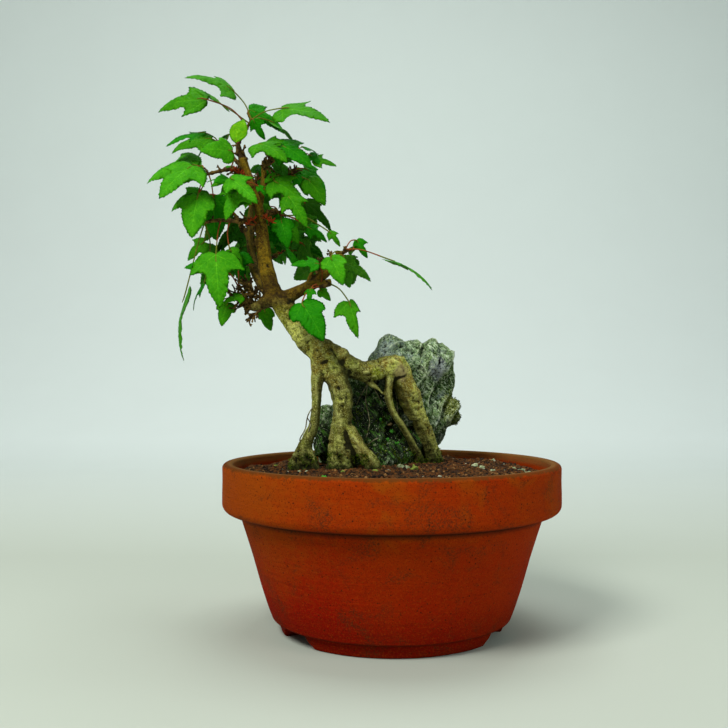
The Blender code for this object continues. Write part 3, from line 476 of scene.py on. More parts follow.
def keep_values(mesh, name, values):
    """Keep a number from 0 to 1 for each of a mesh's points, for its material."""
    kept = mesh.attributes.new(name, "FLOAT", "POINT")
    kept.data.foreach_set("value", np.asarray(values, np.float32))
    mesh.update()


def grown_together(heap, grain):
    """One mesh with an even grain from shapes that overlap."""
    rough = bpy.data.objects.new("rough", heap.mesh("rough", ()))
    bpy.context.scene.collection.objects.link(rough)
    step = rough.modifiers.new("together", "REMESH")
    step.mode = "VOXEL"
    step.voxel_size = grain * MM
    mesh = bpy.data.meshes.new_from_object(rough.evaluated_get(bpy.context.evaluated_depsgraph_get()))
    bpy.data.objects.remove(rough, do_unlink=True)
    return mesh


def relaxed(values, edges, rounds, amount, where=None):
    """Values at a mesh's points, drawn towards the mean of their neighbours."""
    values = np.array(values, float)
    flat = values.reshape(len(values), -1)
    degree = np.maximum(np.bincount(edges.ravel(), minlength=len(flat)), 1)[:, None]
    share = amount if where is None else (amount * where)[:, None]
    for _ in range(rounds):
        near = np.zeros_like(flat)
        for k in range(flat.shape[1]):
            near[:, k] += np.bincount(edges[:, 0], flat[edges[:, 1], k], len(flat))
            near[:, k] += np.bincount(edges[:, 1], flat[edges[:, 0], k], len(flat))
        flat += share * (near / degree - flat)
    return flat.reshape(values.shape)


def keep_hidden(meshes):
    """Keep for each point how closely wood, rock and soil hem it in, as a mask for painted shade; on the wood, low
    sides that turn away from outside get it too.
    """
    everything = np.concatenate([mesh_places(mesh) for mesh in meshes])
    low = everything.min(0) - 12.0
    cells = np.zeros(tuple(np.ceil((everything.max(0) + 12.0 - low) / HEMMED_CELL).astype(int)))
    cells[tuple(((everything - low) / HEMMED_CELL).astype(int).T)] = 1.0
    cells[:, :, :int((SOIL_LEVEL - low[2]) / HEMMED_CELL)] = 1.0
    for _ in range(HEMMED_BLUR):
        for axis in range(3):
            cells = (np.roll(cells, 1, axis) + 2.0 * cells + np.roll(cells, -1, axis)) / 4.0
    for mesh in meshes:
        places = mesh_places(mesh)
        outer = (places + mesh_normals(mesh) * HEMMED_OFFSET - low) / HEMMED_CELL
        at = np.clip(outer.astype(int), 0, np.array(cells.shape) - 1)
        hemmed = relaxed(cells[tuple(at.T)], mesh_edges(mesh), 4, 0.5)
        open_share, closed_share = np.percentile(hemmed[places[:, 2] > SOIL_LEVEL], (40, 95))
        hidden = np.clip((hemmed - open_share) / (closed_share - open_share), 0.0, 1.0)
        # On the wood, painted shade also on the low sides that turn away from the outside of the roots.
        if mesh == meshes[-1]:
            outward = places[:, :2] - ROOTS_MIDDLE
            outward /= np.maximum(np.linalg.norm(outward, axis=1), 0.01)[:, None]
            facing = (relaxed(mesh_normals(mesh), mesh_edges(mesh), 6, 0.5)[:, :2] * outward).sum(1)
            low_down = np.clip((172.0 - places[:, 2]) / 14.0, 0.0, 1.0)
            hidden = np.maximum(hidden, low_down * np.clip(1.1 - 1.3 * facing, 0.0, 0.9))
        keep_values(mesh, "hemmed", hidden)


class Look:
    """A Principled material fed by patterns in the part's own space, one unit to a millimetre."""

    def __init__(self, name, roughness, specular):
        self.material = bpy.data.materials.new(name)
        self.material.use_nodes = True
        self.tree = self.material.node_tree
        self.shader = self.tree.nodes["Principled BSDF"]
        self.shader.inputs["Roughness"].default_value = roughness
        self.shader.inputs["Specular IOR Level"].default_value = specular
        self.place = self.node("ShaderNodeVectorMath", {0: self.node("ShaderNodeTexCoord", {}, "Object"),
                                                        "Scale": 1.0 / MM}, "Vector", operation="SCALE")

    def node(self, kind, inputs, output, **settings):
        """A node with its inputs set or linked, as its output."""
        made = self.tree.nodes.new(kind)
        for key, value in settings.items():
            setattr(made, key, value)
        for key, value in inputs.items():
            if isinstance(value, bpy.types.NodeSocket):
                self.tree.links.new(value, made.inputs[key])
            else:
                made.inputs[key].default_value = value
        return made.outputs[output]

    def stretched(self, x, y, z):
        """Places scaled differently along each axis."""
        return self.node("ShaderNodeVectorMath", {0: self.place, 1: (x, y, z)}, "Vector", operation="MULTIPLY")

    def noise(self, scale, detail=3.0, rough=0.55, place=None, twist=0.0):
        """Fractal noise from 0 to 1."""
        inputs = {"Vector": place or self.place, "Scale": scale, "Detail": detail, "Roughness": rough,
                  "Distortion": twist}
        return self.node("ShaderNodeTexNoise", inputs, "Fac")

    def cells(self, scale, place=None, feature="F1"):
        """Distance to the nearest of scattered points."""
        return self.node("ShaderNodeTexVoronoi", {"Vector": place or self.place, "Scale": scale}, "Distance",
                         feature=feature)

    def height(self):
        """Height in the part's space, in millimetres."""
        return self.node("ShaderNodeSeparateXYZ", {0: self.place}, "Z")

    def from_axis(self):
        """Distance from the pot's upright axis, in millimetres."""
        flat = self.node("ShaderNodeVectorMath", {0: self.place, 1: tuple(AXIS)}, "Vector", operation="SUBTRACT")
        flat = self.node("ShaderNodeVectorMath", {0: flat, 1: (1.0, 1.0, 0.0)}, "Vector", operation="MULTIPLY")
        return self.node("ShaderNodeVectorMath", {0: flat}, "Value", operation="LENGTH")

    def near(self, centre, reach, blur=0.5):
        """1 close to a place from the pot's axis, falling to 0 about a ragged reach from it."""
        spot = tuple(Vector(centre) + AXIS)
        away = self.node("ShaderNodeVectorMath", {0: self.place, 1: spot}, "Value", operation="DISTANCE")
        away = self.math("ADD", away, self.span(self.noise(0.25, 3.0, 0.6), 0.3, 0.7, -0.3 * reach, 0.3 * reach))
        return self.span(away, reach * (1.0 - blur), reach * (1.0 + blur), 1.0, 0.0)

    def kept(self, name):
        """A number kept for each of the mesh's points."""
        return self.node("ShaderNodeAttribute", {}, "Fac", attribute_name=name)

    def span(self, value, low, high, to_low=0.0, to_high=1.0):
        """A value carried from one range to another and held there."""
        return self.node("ShaderNodeMapRange", {0: value, 1: low, 2: high, 3: to_low, 4: to_high}, 0)

    def math(self, operation, a, b=0.0):
        """One sum, difference, product or the like."""
        return self.node("ShaderNodeMath", {0: a, 1: b}, 0, operation=operation)

    def mix(self, share, first, second):
        """One colour laid over another by a share from 0 to 1."""
        first = (*first, 1.0) if isinstance(first, tuple) else first
        second = (*second, 1.0) if isinstance(second, tuple) else second
        return self.node("ShaderNodeMix", {0: share, 6: first, 7: second}, 2, data_type="RGBA")

    def finish(self, colour, bumps=(), roughness=None):
        """Link the colour, the bumps as (height, depth in mm), and a roughness pattern, and give the material."""
        self.tree.links.new(colour, self.shader.inputs["Base Color"])
        normal = None
        for height, depth in bumps:
            inputs = {"Height": height, "Distance": depth * MM, "Strength": 1.0}
            if normal:
                inputs["Normal"] = normal
            normal = self.node("ShaderNodeBump", inputs, "Normal")
        if normal:
            self.tree.links.new(normal, self.shader.inputs["Normal"])
        if roughness:
            self.tree.links.new(roughness, self.shader.inputs["Roughness"])
        return self.material


def terracotta():
    """Unglazed fired clay: orange on the collar, redder below, with a worn rim, dark specks and smoky patches; painted
    shade towards the foot, under the collar and above the foot ring, and a painted pool of light on the collar's front
    left.
    """
    look = Look("fired_clay", 0.85, 0.03)
    height = look.height()
    broad = look.noise(0.018, 3.0)
    tint = look.math("ADD", look.span(height, 14.0, 86.0), look.span(broad, 0.3, 0.7, -0.35, 0.35))
    clay = look.mix(look.span(tint, 0.0, 1.0), (0.300, 0.0050, 0.0004), (0.335, 0.033, 0.0008))
    # Painted shade: the clay darkened towards the foot, where less light reaches.
    low = look.span(height, 2.0, 26.0, 0.62, 1.0)
    clay = look.node("ShaderNodeVectorMath", {0: clay, "Scale": low}, "Vector", operation="SCALE")
    mottle = look.span(look.noise(0.35, 4.0, 0.7), 0.35, 0.7)
    clay = look.mix(look.math("MULTIPLY", mottle, 0.35), clay, (0.170, 0.012, 0.001))
    # Ochre patches on the upper body, and a painted pool of light on the collar's front left, where the key light
    # falls.
    ochre_and_lit_patch = look.math("MAXIMUM", look.math("MULTIPLY", look.span(look.noise(0.03, 3.0, 0.6, twist=0.8), 0.52, 0.66),
                                                      look.span(height, 46.0, 70.0)),
                      look.near((-78.0, -50.0, 84.0), 42.0, 0.6))
    clay = look.mix(look.math("MULTIPLY", ochre_and_lit_patch, 0.5), clay, (0.290, 0.075, 0.003))
    smoke_area = look.span(look.noise(0.05, 3.0, 0.6, twist=1.0), 0.52, 0.66)
    smoke = look.math("MULTIPLY", smoke_area, look.span(look.noise(1.1, 5.0, 0.8), 0.47, 0.57))
    clay = look.mix(look.math("MULTIPLY", smoke, 0.8), clay, (0.038, 0.022, 0.008))
    specks = look.math("MAXIMUM", look.span(look.noise(0.75, 4.0, 0.85), 0.665, 0.695),
                       look.math("MULTIPLY", look.span(look.cells(0.33), 0.10, 0.17, 1.0, 0.0), 0.9))
    few = look.span(look.noise(0.07, 2.0), 0.40, 0.52, 0.25, 1.0)
    clay = look.mix(look.math("MULTIPLY", look.math("MULTIPLY", specks, few), 0.95), clay, (0.014, 0.008, 0.004))
    grains = look.span(look.cells(1.0), 0.20, 0.34, 1.0, 0.0)
    clay = look.mix(look.math("MULTIPLY", grains, 0.6), clay, (0.075, 0.010, 0.002))
    rough = look.span(look.noise(1.3, 3.0, 0.75), 0.52, 0.64)
    clay = look.mix(look.math("MULTIPLY", rough, 0.4), clay, (0.400, 0.062, 0.003))
    # Painted shadow: a dark band under the collar's overhang.
    collar_shadow = look.math("MULTIPLY", look.span(height, 61.0, 63.6), look.span(height, 66.4, 64.6))
    clay = look.mix(look.math("MULTIPLY", collar_shadow, 0.85), clay, (0.018, 0.007, 0.003))
    # Painted shade in the crease where the body meets the foot ring.
    foot_ring_shade = look.math("MULTIPLY", look.span(height, 6.0, 7.0), look.span(height, 8.6, 7.6))
    clay = look.mix(look.math("MULTIPLY", foot_ring_shade, 0.6), clay, (0.030, 0.008, 0.003))
    edge = look.math("ADD", height, look.span(look.noise(0.35, 4.0, 0.7), 0.3, 0.7, -0.8, 0.8))
    clay = look.mix(look.span(edge, 89.2, 90.3, 0.0, 0.85), clay, (0.100, 0.034, 0.005))
    within = look.math("MULTIPLY", look.span(look.from_axis(), 90.6, 88.8), look.span(height, 86.0, 88.0))
    clay = look.mix(look.math("MULTIPLY", within, 0.6), clay, (0.190, 0.100, 0.026))
    rings = look.noise(0.5, 2.0, 0.5, look.stretched(0.05, 0.05, 1.0))
    return look.finish(clay, [(look.noise(0.5, 5.0, 0.7), 0.35), (look.noise(2.2, 3.0, 0.7), 0.22), (rings, 0.4)])


def granule_look(name, light, dark):
    """Rough fired-clay or stone granules in two shades."""
    look = Look(name, 0.9, 0.1)
    colour = look.mix(look.span(look.noise(0.45, 3.0), 0.35, 0.65), dark, light)
    colour = look.mix(look.math("MULTIPLY", look.span(look.noise(2.5, 3.0, 0.7), 0.5, 0.7), 0.5), colour, dark)
    return look.finish(colour, [(look.noise(3.0, 3.0, 0.7), 0.2)])


def bark(name, greener):
    """Maple bark: olive, grey and rust in patches, finely pebbled, with dark pits, pale flecks, painted shade in its
    crevices and hollows and a painted highlight on its ridges.
    """
    look = Look(name, 0.8, 0.10)
    height = look.height()
    broad = look.noise(0.07, 3.0, 0.6)
    old = look.mix(look.span(broad, 0.42, 0.56), (0.190, 0.155, 0.012), (0.700, 0.730, 0.150))
    green = look.span(look.noise(0.10, 3.0, 0.6, look.stretched(1.0, 1.0, 0.7)), 0.46, 0.62)
    old = look.mix(look.math("MULTIPLY", green, greener), old, (0.250, 0.310, 0.012))
    rust = look.span(look.noise(0.085, 3.0, 0.6, look.stretched(1.0, 1.0, 0.8), 0.5), 0.50, 0.60)
    old = look.mix(look.math("MULTIPLY", rust, 0.8), old, (0.240, 0.140, 0.010))
    grey = look.span(look.noise(0.30, 4.0, 0.7), 0.50, 0.66)
    old = look.mix(look.math("MULTIPLY", grey, 0.40), old, (0.680, 0.740, 0.300))
    young = look.mix(look.span(broad, 0.4, 0.6), (0.075, 0.034, 0.003), (0.210, 0.122, 0.004))
    colour = look.mix(look.span(height, 164.0, 182.0), old, young)
    # Painted shade on the back of the wood above the crotch, under the crown.
    behind = look.node("ShaderNodeSeparateXYZ", {0: look.place}, "Y")
    rear = look.math("MULTIPLY", look.span(behind, -10.0, -4.0), look.span(height, 176.0, 184.0))
    colour = look.mix(look.math("MULTIPLY", rear, 0.75), colour, (0.055, 0.048, 0.020))
    crotch = look.math("MAXIMUM", look.near((-73.0, -13.0, 178.0), 11.0, 0.4), look.near((-64.0, -14.0, 183.0), 8.0, 0.4))
    # Painted shade under the arch root, beside the trunk.
    under = look.near((-22.0, -10.0, 135.0), 9.0, 0.5)
    colour = look.mix(look.math("MULTIPLY", under, 0.7), colour, (0.035, 0.026, 0.006))
    wrinkles = look.noise(0.60, 4.0, 0.65, look.stretched(0.6, 0.6, 1.25))
    colour = look.mix(look.math("MULTIPLY", look.span(wrinkles, 0.54, 0.66), 0.6), colour, (0.040, 0.032, 0.008))
    shaded = look.near((-43.0, -16.0, 118.0), 22.0, 0.4)
    colour = look.mix(look.math("MULTIPLY", shaded, 0.6), colour, (0.070, 0.078, 0.014))
    pits = look.span(look.cells(0.75, look.stretched(1.0, 1.0, 1.2)), 0.18, 0.32, 1.0, 0.0)
    colour = look.mix(look.math("MULTIPLY", pits, 0.85), colour, (0.020, 0.016, 0.004))
    dots = look.span(look.noise(0.95, 5.0, 0.85), 0.50, 0.55)
    colour = look.mix(look.math("MULTIPLY", dots, 0.7), colour, (0.034, 0.028, 0.004))
    flecks = look.span(look.noise(1.5, 3.0, 0.7), 0.56, 0.62)
    bright = look.mix(look.span(height, 164.0, 182.0), (0.80, 0.84, 0.26), (0.36, 0.25, 0.015))
    colour = look.mix(look.math("MULTIPLY", flecks, 0.6), colour, bright)
    worn = look.near((5.5, -3.0, 140.0), 4.2, 0.4)
    colour = look.mix(look.math("MULTIPLY", worn, 0.6), colour, (0.60, 0.44, 0.22))
    # Painted shade in crevices and crotches, where the bark lies below its surroundings, and a painted highlight on
    # raised bark.
    colour = look.mix(look.span(look.kept("raised"), 0.48, 0.20, 0.0, 0.95), colour, (0.010, 0.008, 0.003))
    colour = look.mix(look.span(look.kept("raised"), 0.70, 1.0, 0.0, 0.35), colour, bright)
    # Painted shade, in patches, where wood, rock and soil hem the bark in, and on the low sides of the roots that turn
    # away from outside.
    hemmed_shade = look.math("MULTIPLY", look.span(look.kept("hemmed"), 0.10, 0.85),
                      look.span(look.noise(0.7, 4.0, 0.7), 0.36, 0.60, 0.95, 0.6))
    colour = look.mix(look.math("MULTIPLY", hemmed_shade, 0.92), colour, (0.026, 0.028, 0.005))
    # Painted shade, in patches, in the trunk's crotch and at the right bough's joint.
    joint = look.near((-44.0, -12.0, 187.0), 10.0, 0.5)
    crotch_shade = look.math("MAXIMUM", crotch, look.math("MULTIPLY", joint, 0.7))
    crotch_shade = look.math("MULTIPLY", crotch_shade, look.span(look.noise(0.5, 4.0, 0.7), 0.36, 0.60, 0.95, 0.45))
    colour = look.mix(crotch_shade, colour, (0.036, 0.020, 0.005))
    # Darker and greener towards the soil.
    ragged_height = look.math("ADD", height, look.span(look.noise(0.3, 4.0, 0.7), 0.3, 0.7, -7.0, 7.0))
    soil_tint = look.mix(look.span(ragged_height, 90.0, 106.0), (0.05, 0.09, 0.02), (1.0, 1.0, 1.0))
    colour = look.node("ShaderNodeMix", {0: 0.85, 6: colour, 7: soil_tint}, 2, data_type="RGBA", blend_type="MULTIPLY")
    return look.finish(colour, [(wrinkles, 0.7), (look.noise(1.6, 4.0, 0.7), 0.55)])


def stone():
    """Weathered grey-green stone: pale streaks, slate and cream plates and a film of moss, with painted shade in its
    hollows, crevices and recesses and a painted highlight on its raised edges.
    """
    look = Look("weathered_stone", 0.85, 0.12)
    raised = look.kept("raised")
    broad = look.noise(0.055, 4.0, 0.6)
    colour = look.mix(look.span(broad, 0.46, 0.55), (0.026, 0.078, 0.012), (0.240, 0.390, 0.160))
    slanted = look.node("ShaderNodeVectorRotate", {0: look.place, "Angle": math.radians(38.0)}, "Vector",
                        rotation_type="Y_AXIS")
    slanted = look.node("ShaderNodeVectorMath", {0: slanted, 1: (1.5, 1.0, 0.36)}, "Vector", operation="MULTIPLY")
    streaks = look.noise(0.36, 6.0, 0.80, slanted, 0.8)
    colour = look.mix(look.math("MULTIPLY", look.span(streaks, 0.555, 0.575), 0.9), colour, (0.80, 0.95, 0.66))
    colour = look.mix(look.math("MULTIPLY", look.span(streaks, 0.48, 0.45), 0.95), colour, (0.008, 0.018, 0.005))
    slate = look.span(look.noise(0.09, 3.0, 0.6, twist=0.6), 0.55, 0.62)
    colour = look.mix(look.math("MULTIPLY", slate, 0.5), colour, (0.30, 0.39, 0.36))
    hump = look.near((-1.0, 12.0, 150.0), 12.0)
    colour = look.mix(look.math("MULTIPLY", hump, 0.6), colour, (0.30, 0.38, 0.36))
    moss = look.math("MULTIPLY", look.span(look.noise(0.13, 4.0, 0.65), 0.46, 0.54),
                     look.span(look.noise(0.9, 4.0, 0.7), 0.44, 0.54))
    colour = look.mix(look.math("MULTIPLY", moss, 0.85), colour, (0.095, 0.190, 0.014))
    shadow = look.math("MULTIPLY", look.span(look.kept("hemmed"), 0.20, 0.75),
                       look.span(look.noise(0.5, 5.0, 0.75), 0.36, 0.58, 0.45, 1.0))
    green = look.mix(look.span(look.noise(0.4, 4.0, 0.7), 0.46, 0.60), (0.010, 0.018, 0.005), (0.060, 0.130, 0.012))
    colour = look.mix(look.math("MULTIPLY", shadow, 0.95), colour, green)
    cream = look.near((21.0, 18.0, 141.0), 4.6, 0.25)
    colour = look.mix(look.math("MULTIPLY", cream, 0.8), colour, (0.56, 0.62, 0.40))
    lilac = look.near((27.0, 16.0, 143.0), 6.0, 0.25)
    colour = look.mix(look.math("MULTIPLY", lilac, 0.7), colour, (0.42, 0.45, 0.52))
    ear = look.near((37.0, 24.0, 119.0), 9.5, 0.3)
    furry = look.mix(look.span(look.noise(0.9, 4.0, 0.7), 0.42, 0.60), (0.060, 0.080, 0.008), (0.330, 0.350, 0.040))
    colour = look.mix(look.math("MULTIPLY", ear, 0.85), colour, furry)
    flecks = look.span(look.noise(0.9, 5.0, 0.8), 0.55, 0.58)
    colour = look.mix(look.math("MULTIPLY", flecks, 0.6), colour, (0.80, 0.92, 0.62))
    dots = look.span(look.cells(0.7), 0.24, 0.36, 1.0, 0.0)
    colour = look.mix(look.math("MULTIPLY", dots, 0.85), colour, (0.012, 0.022, 0.008))
    # Painted shade in crevices, where the stone lies below its surroundings, and a painted highlight on its raised
    # edges.
    colour = look.mix(look.span(raised, 0.52, 0.26, 0.0, 0.97), colour, (0.004, 0.008, 0.003))
    colour = look.mix(look.span(raised, 0.66, 0.88, 0.0, 0.5), colour, (0.74, 0.86, 0.56))
    # Painted shade in the recess between the roots and in two low recesses by the soil: nearly black, with strokes of
    # moss and pale flecks.
    recess_shade = look.math("MAXIMUM", look.near((-9.0, -4.0, 110.0), 27.0, 0.25), look.near((-37.0, 0.0, 100.0), 16.0, 0.3))
    recess_shade = look.math("MAXIMUM", recess_shade, look.near((14.0, 6.0, 100.0), 16.0, 0.3))
    deep = look.mix(look.span(look.noise(0.30, 5.0, 0.75, slanted), 0.50, 0.60), (0.002, 0.004, 0.001), (0.060, 0.170, 0.016))
    deep = look.mix(look.span(look.noise(0.9, 5.0, 0.8), 0.61, 0.63), deep, (0.60, 0.70, 0.42))
    colour = look.mix(look.math("MULTIPLY", recess_shade, 0.94), colour, deep)
    # Painted shade in the hollow under the ledge and in the cavity under the ear.
    hollow = look.math("MAXIMUM", look.near((31.0, 12.0, 132.0), 5.5, 0.3), look.near((36.0, 18.0, 104.0), 7.0, 0.3))
    colour = look.mix(look.math("MULTIPLY", hollow, 0.9), colour, (0.006, 0.009, 0.005))
    return look.finish(colour, [(look.noise(0.35, 5.0, 0.75), 1.0), (look.noise(1.8, 4.0, 0.75), 0.5)])


def leaf_look(name, colour, roughness=0.5):
    """Leaf or stalk in one plain tone, with a soft mottle, fine grain and a slight gloss."""
    look = Look(name, roughness, 0.03)
    deep = tuple(c * w for c, w in zip(colour, (0.60, 0.76, 0.6)))
    tint = look.mix(look.span(look.noise(0.16, 3.0), 0.35, 0.65), colour, deep)
    fresh = tuple(c * w for c, w in zip(colour, (1.55, 1.12, 1.0)))
    tint = look.mix(look.math("MULTIPLY", look.span(look.noise(0.6, 3.0, 0.6), 0.48, 0.66), 0.5), tint, fresh)
    cells = look.span(look.noise(1.3, 4.0, 0.7), 0.48, 0.62)
    tint = look.mix(look.math("MULTIPLY", cells, 0.5), tint, tuple(c * w for c, w in zip(colour, (0.45, 0.62, 0.5))))
    return look.finish(tint, [(look.noise(0.55, 2.0), 0.6), (look.noise(1.6, 3.0, 0.6), 0.18)])


def twig_bark():
    """Young bark: dark red-brown, paler in patches, with darker spots."""
    look = Look("twig_bark", 0.75, 0.10)
    tint = look.mix(look.span(look.noise(0.35, 3.0, 0.6), 0.42, 0.60), (0.040, 0.022, 0.007), (0.190, 0.115, 0.022))
    dark = look.span(look.noise(1.4, 3.0, 0.7), 0.50, 0.62)
    return look.finish(look.mix(look.math("MULTIPLY", dark, 0.7), tint, (0.012, 0.009, 0.004)),
                       [(look.noise(1.6, 3.0, 0.7), 0.3)])


def floor_look():
    """The pale floor, a little darker than the backdrop that it sweeps up into."""
    look = Look("pale_floor", 0.85, 0.1)
    back = look.node("ShaderNodeSeparateXYZ", {0: look.place}, "Y")
    tone = look.mix(look.span(back, 200.0, 1100.0), (0.48, 0.535, 0.46), (0.84, 0.93, 0.90))
    shade = look.math("MULTIPLY", look.noise(0.01, 2.0), 0.05)
    return look.finish(look.mix(shade, tone, (0.4, 0.4, 0.4)))


def arc(centre, radius, start, end, count):
    """Places along a circular arc in the plane of radius and height."""
    turns = [math.radians(start + (end - start) * k / (count - 1)) for k in range(count)]
    return [(centre[0] + radius * math.cos(t), centre[1] + radius * math.sin(t)) for t in turns]


def inner_wall():
    """The pot's inside from its floor up to its rim, as (radius, height)."""
    bottom = BODY_BOTTOM_RADIUS - WALL + 1.5
    top = RIM_RADIUS - WALL
    return [(bottom - 3.0, FLOOR_TOP), (bottom, FLOOR_TOP + 3.0), (SHOULDER_RADIUS - WALL, COLLAR_BOTTOM - 4.0),
            (top - 1.0, COLLAR_BOTTOM + 3.0), (top, POT_HEIGHT - 8.0)]


def notch(bearing):
    """A wedge that opens the foot ring, its two edges drawn out in an S towards the ground."""
    half = math.radians(NOTCH_WIDTH / 2)
    middle = math.radians(bearing)
    heights = [-1.0, 0.0, 0.7, 1.5, 2.5, 3.6, 4.7, 5.6, 6.3, 6.8, 7.0]
    widening = [1.22, 1.22, 1.20, 1.14, 1.04, 0.94, 0.87, 0.82, 0.78, 0.72, 0.66]
    heap = bmesh.new()
    rings = []
    for z, wide in zip(heights, widening):
        ring = []
        for radius, side in ((FOOT_INNER - 6.0, -1), (FOOT_INNER - 6.0, 1), (FOOT_OUTER + 8.0, 1), (FOOT_OUTER + 8.0, -1)):
            turn = middle + side * half * wide
            ring.append(heap.verts.new((radius * math.cos(turn), radius * math.sin(turn), z)))
        rings.append(ring)
    for low, high in zip(rings, rings[1:]):
        for k in range(4):
            heap.faces.new((low[k], low[(k + 1) % 4], high[(k + 1) % 4], high[k]))
    heap.faces.new(list(reversed(rings[0])))
    heap.faces.new(rings[-1])
    bmesh.ops.recalc_face_normals(heap, faces=heap.faces)
    shape = Heap()
    heap.verts.index_update()
    shape.add([v.co for v in heap.verts], [tuple(v.index for v in face.verts) for face in heap.faces])
    heap.free()
    return shape


def make_pot():
    """The pot with its softened edges, foot ring and notches."""
    inner_top = RIM_RADIUS - WALL
    profile = [(FOOT_INNER, 0.4), (FOOT_INNER + 0.6, 0.0), (FOOT_OUTER - 1.2, 0.0), (FOOT_OUTER - 0.2, 0.6),
               (FOOT_OUTER + 0.8, 3.5), (FOOT_OUTER + 1.5, 6.2), (FOOT_OUTER + 1.6, FOOT_HEIGHT),
               (FOOT_OUTER + 2.2, FOOT_HEIGHT + 0.5)]
    profile += arc((BODY_BOTTOM_RADIUS - 1.4, FOOT_HEIGHT + 2.0), 1.6, -80.0, -10.0, 5)
    profile += [(66.6, 11.0), (68.4, 16.0), (71.6, 26.0), (75.8, 41.0), (79.4, 52.5), (SHOULDER_RADIUS, 62.0),
                (SHOULDER_RADIUS + 0.9, 64.0), (RIM_RADIUS - 7.0, 64.7), (RIM_RADIUS - 4.5, 64.9)]
    profile += arc((RIM_RADIUS - 4.6, COLLAR_BOTTOM + 4.2), 4.6, -78.0, 0.0, 8)
    profile += [(RIM_RADIUS, 75.0), (RIM_RADIUS - 0.15, 82.0)]
    profile += arc((RIM_RADIUS - 2.4, POT_HEIGHT - 2.4), 2.4, 5.0, 90.0, 6)
    profile += [(RIM_RADIUS - 3.6, POT_HEIGHT)]
    profile += arc((inner_top + 1.6, POT_HEIGHT - 1.6), 1.6, 90.0, 175.0, 4)
    profile += reversed(inner_wall())
    profile += [(DRAIN_RADIUS, FLOOR_TOP), (DRAIN_RADIUS, FOOT_HEIGHT), (FOOT_INNER - 1.0, FOOT_HEIGHT)]
    heap = Heap()
    heap.add(*revolved(profile, POT_SEGMENTS))
    rough = bpy.data.objects.new("rough_pot", heap.mesh("rough_pot", ()))
    bpy.context.scene.collection.objects.link(rough)
    cutters = []
    for k, bearing in enumerate(NOTCH_BEARINGS):
        cutter = bpy.data.objects.new("notch_%d" % k, notch(bearing).mesh("notch_%d" % k, ()))
        bpy.context.scene.collection.objects.link(cutter)
        cutters.append(cutter)
        step = rough.modifiers.new("notch_%d" % k, "BOOLEAN")
        step.operation = "DIFFERENCE"
        step.solver = "EXACT"
        step.object = cutter
    mesh = bpy.data.meshes.new_from_object(rough.evaluated_get(bpy.context.evaluated_depsgraph_get()))
    for extra in [rough] + cutters:
        bpy.data.objects.remove(extra, do_unlink=True)
    mesh.materials.clear()
    mesh.materials.append(terracotta())
    mesh.polygons.foreach_set("use_smooth", [True] * len(mesh.polygons))
    mesh.set_sharp_from_angle(angle=math.radians(38.0))
    piece = add_piece("clay_pot", mesh, ["pot"])
    return piece


def soil_levels(solid, places):
    """The packed soil's level under each of an array of places (x, y)."""
    high = POT_HEIGHT + 10.0
    reach = np.minimum(1.0, (SOIL_RADIUS - 1.2) / np.maximum(np.linalg.norm(places, axis=1), 1.0))
    return np.array([solid.ray_cast(Vector((x, y, high)), Vector((0.0, 0.0, -1.0)))[0].z
                     for x, y in places * reach[:, None]])


def icosphere(rounds):
    """Points and faces of a ball of radius 1 with triangular faces."""
    ball = bmesh.new()
    bmesh.ops.create_icosphere(ball, subdivisions=rounds, radius=1.0)
    points = np.array([v.co for v in ball.verts])
    faces = [tuple(v.index for v in face.verts) for face in ball.faces]
    ball.free()
    return points, faces


def make_soil_bed(solid):
    """The fine soil under the granules, closed down to the pot's floor."""
    segments = 144
    turns = np.arange(segments) * 2.0 * np.pi / segments
    wall = [(r - 0.4, z + 0.4) for r, z in inner_wall()[:4]]
    rings = [np.column_stack([r * np.cos(turns), r * np.sin(turns), np.full(segments, z)])
             for r, z in [(10.0, FLOOR_TOP + 0.4)] + wall]
    for r in np.arange(SOIL_RADIUS, 6.0, -3.0):
        ring = np.column_stack([r * np.cos(turns), r * np.sin(turns)])
        rings.append(np.column_stack([ring, soil_levels(solid, ring) - BED_DEPTH]))
        rings[-1][:, 2] += 0.2 * fractal(rings[-1] * 0.7, 2, 61)
    faces = []
    for k in range(len(rings) - 1):
        for s in range(segments):
            t = (s + 1) % segments
            faces.append((k * segments + s, k * segments + t, (k + 1) * segments + t, (k + 1) * segments + s))
    faces.append(tuple(reversed(range(segments))))
    faces.append(tuple(range((len(rings) - 1) * segments, len(rings) * segments)))
    bed = Heap()
    bed.add(np.concatenate(rings), faces)
    look = granule_look("damp_soil", (0.055, 0.022, 0.008), (0.018, 0.009, 0.005))
    add_piece("soil_bed", bed.mesh("soil_bed", [look]), ["soil"])


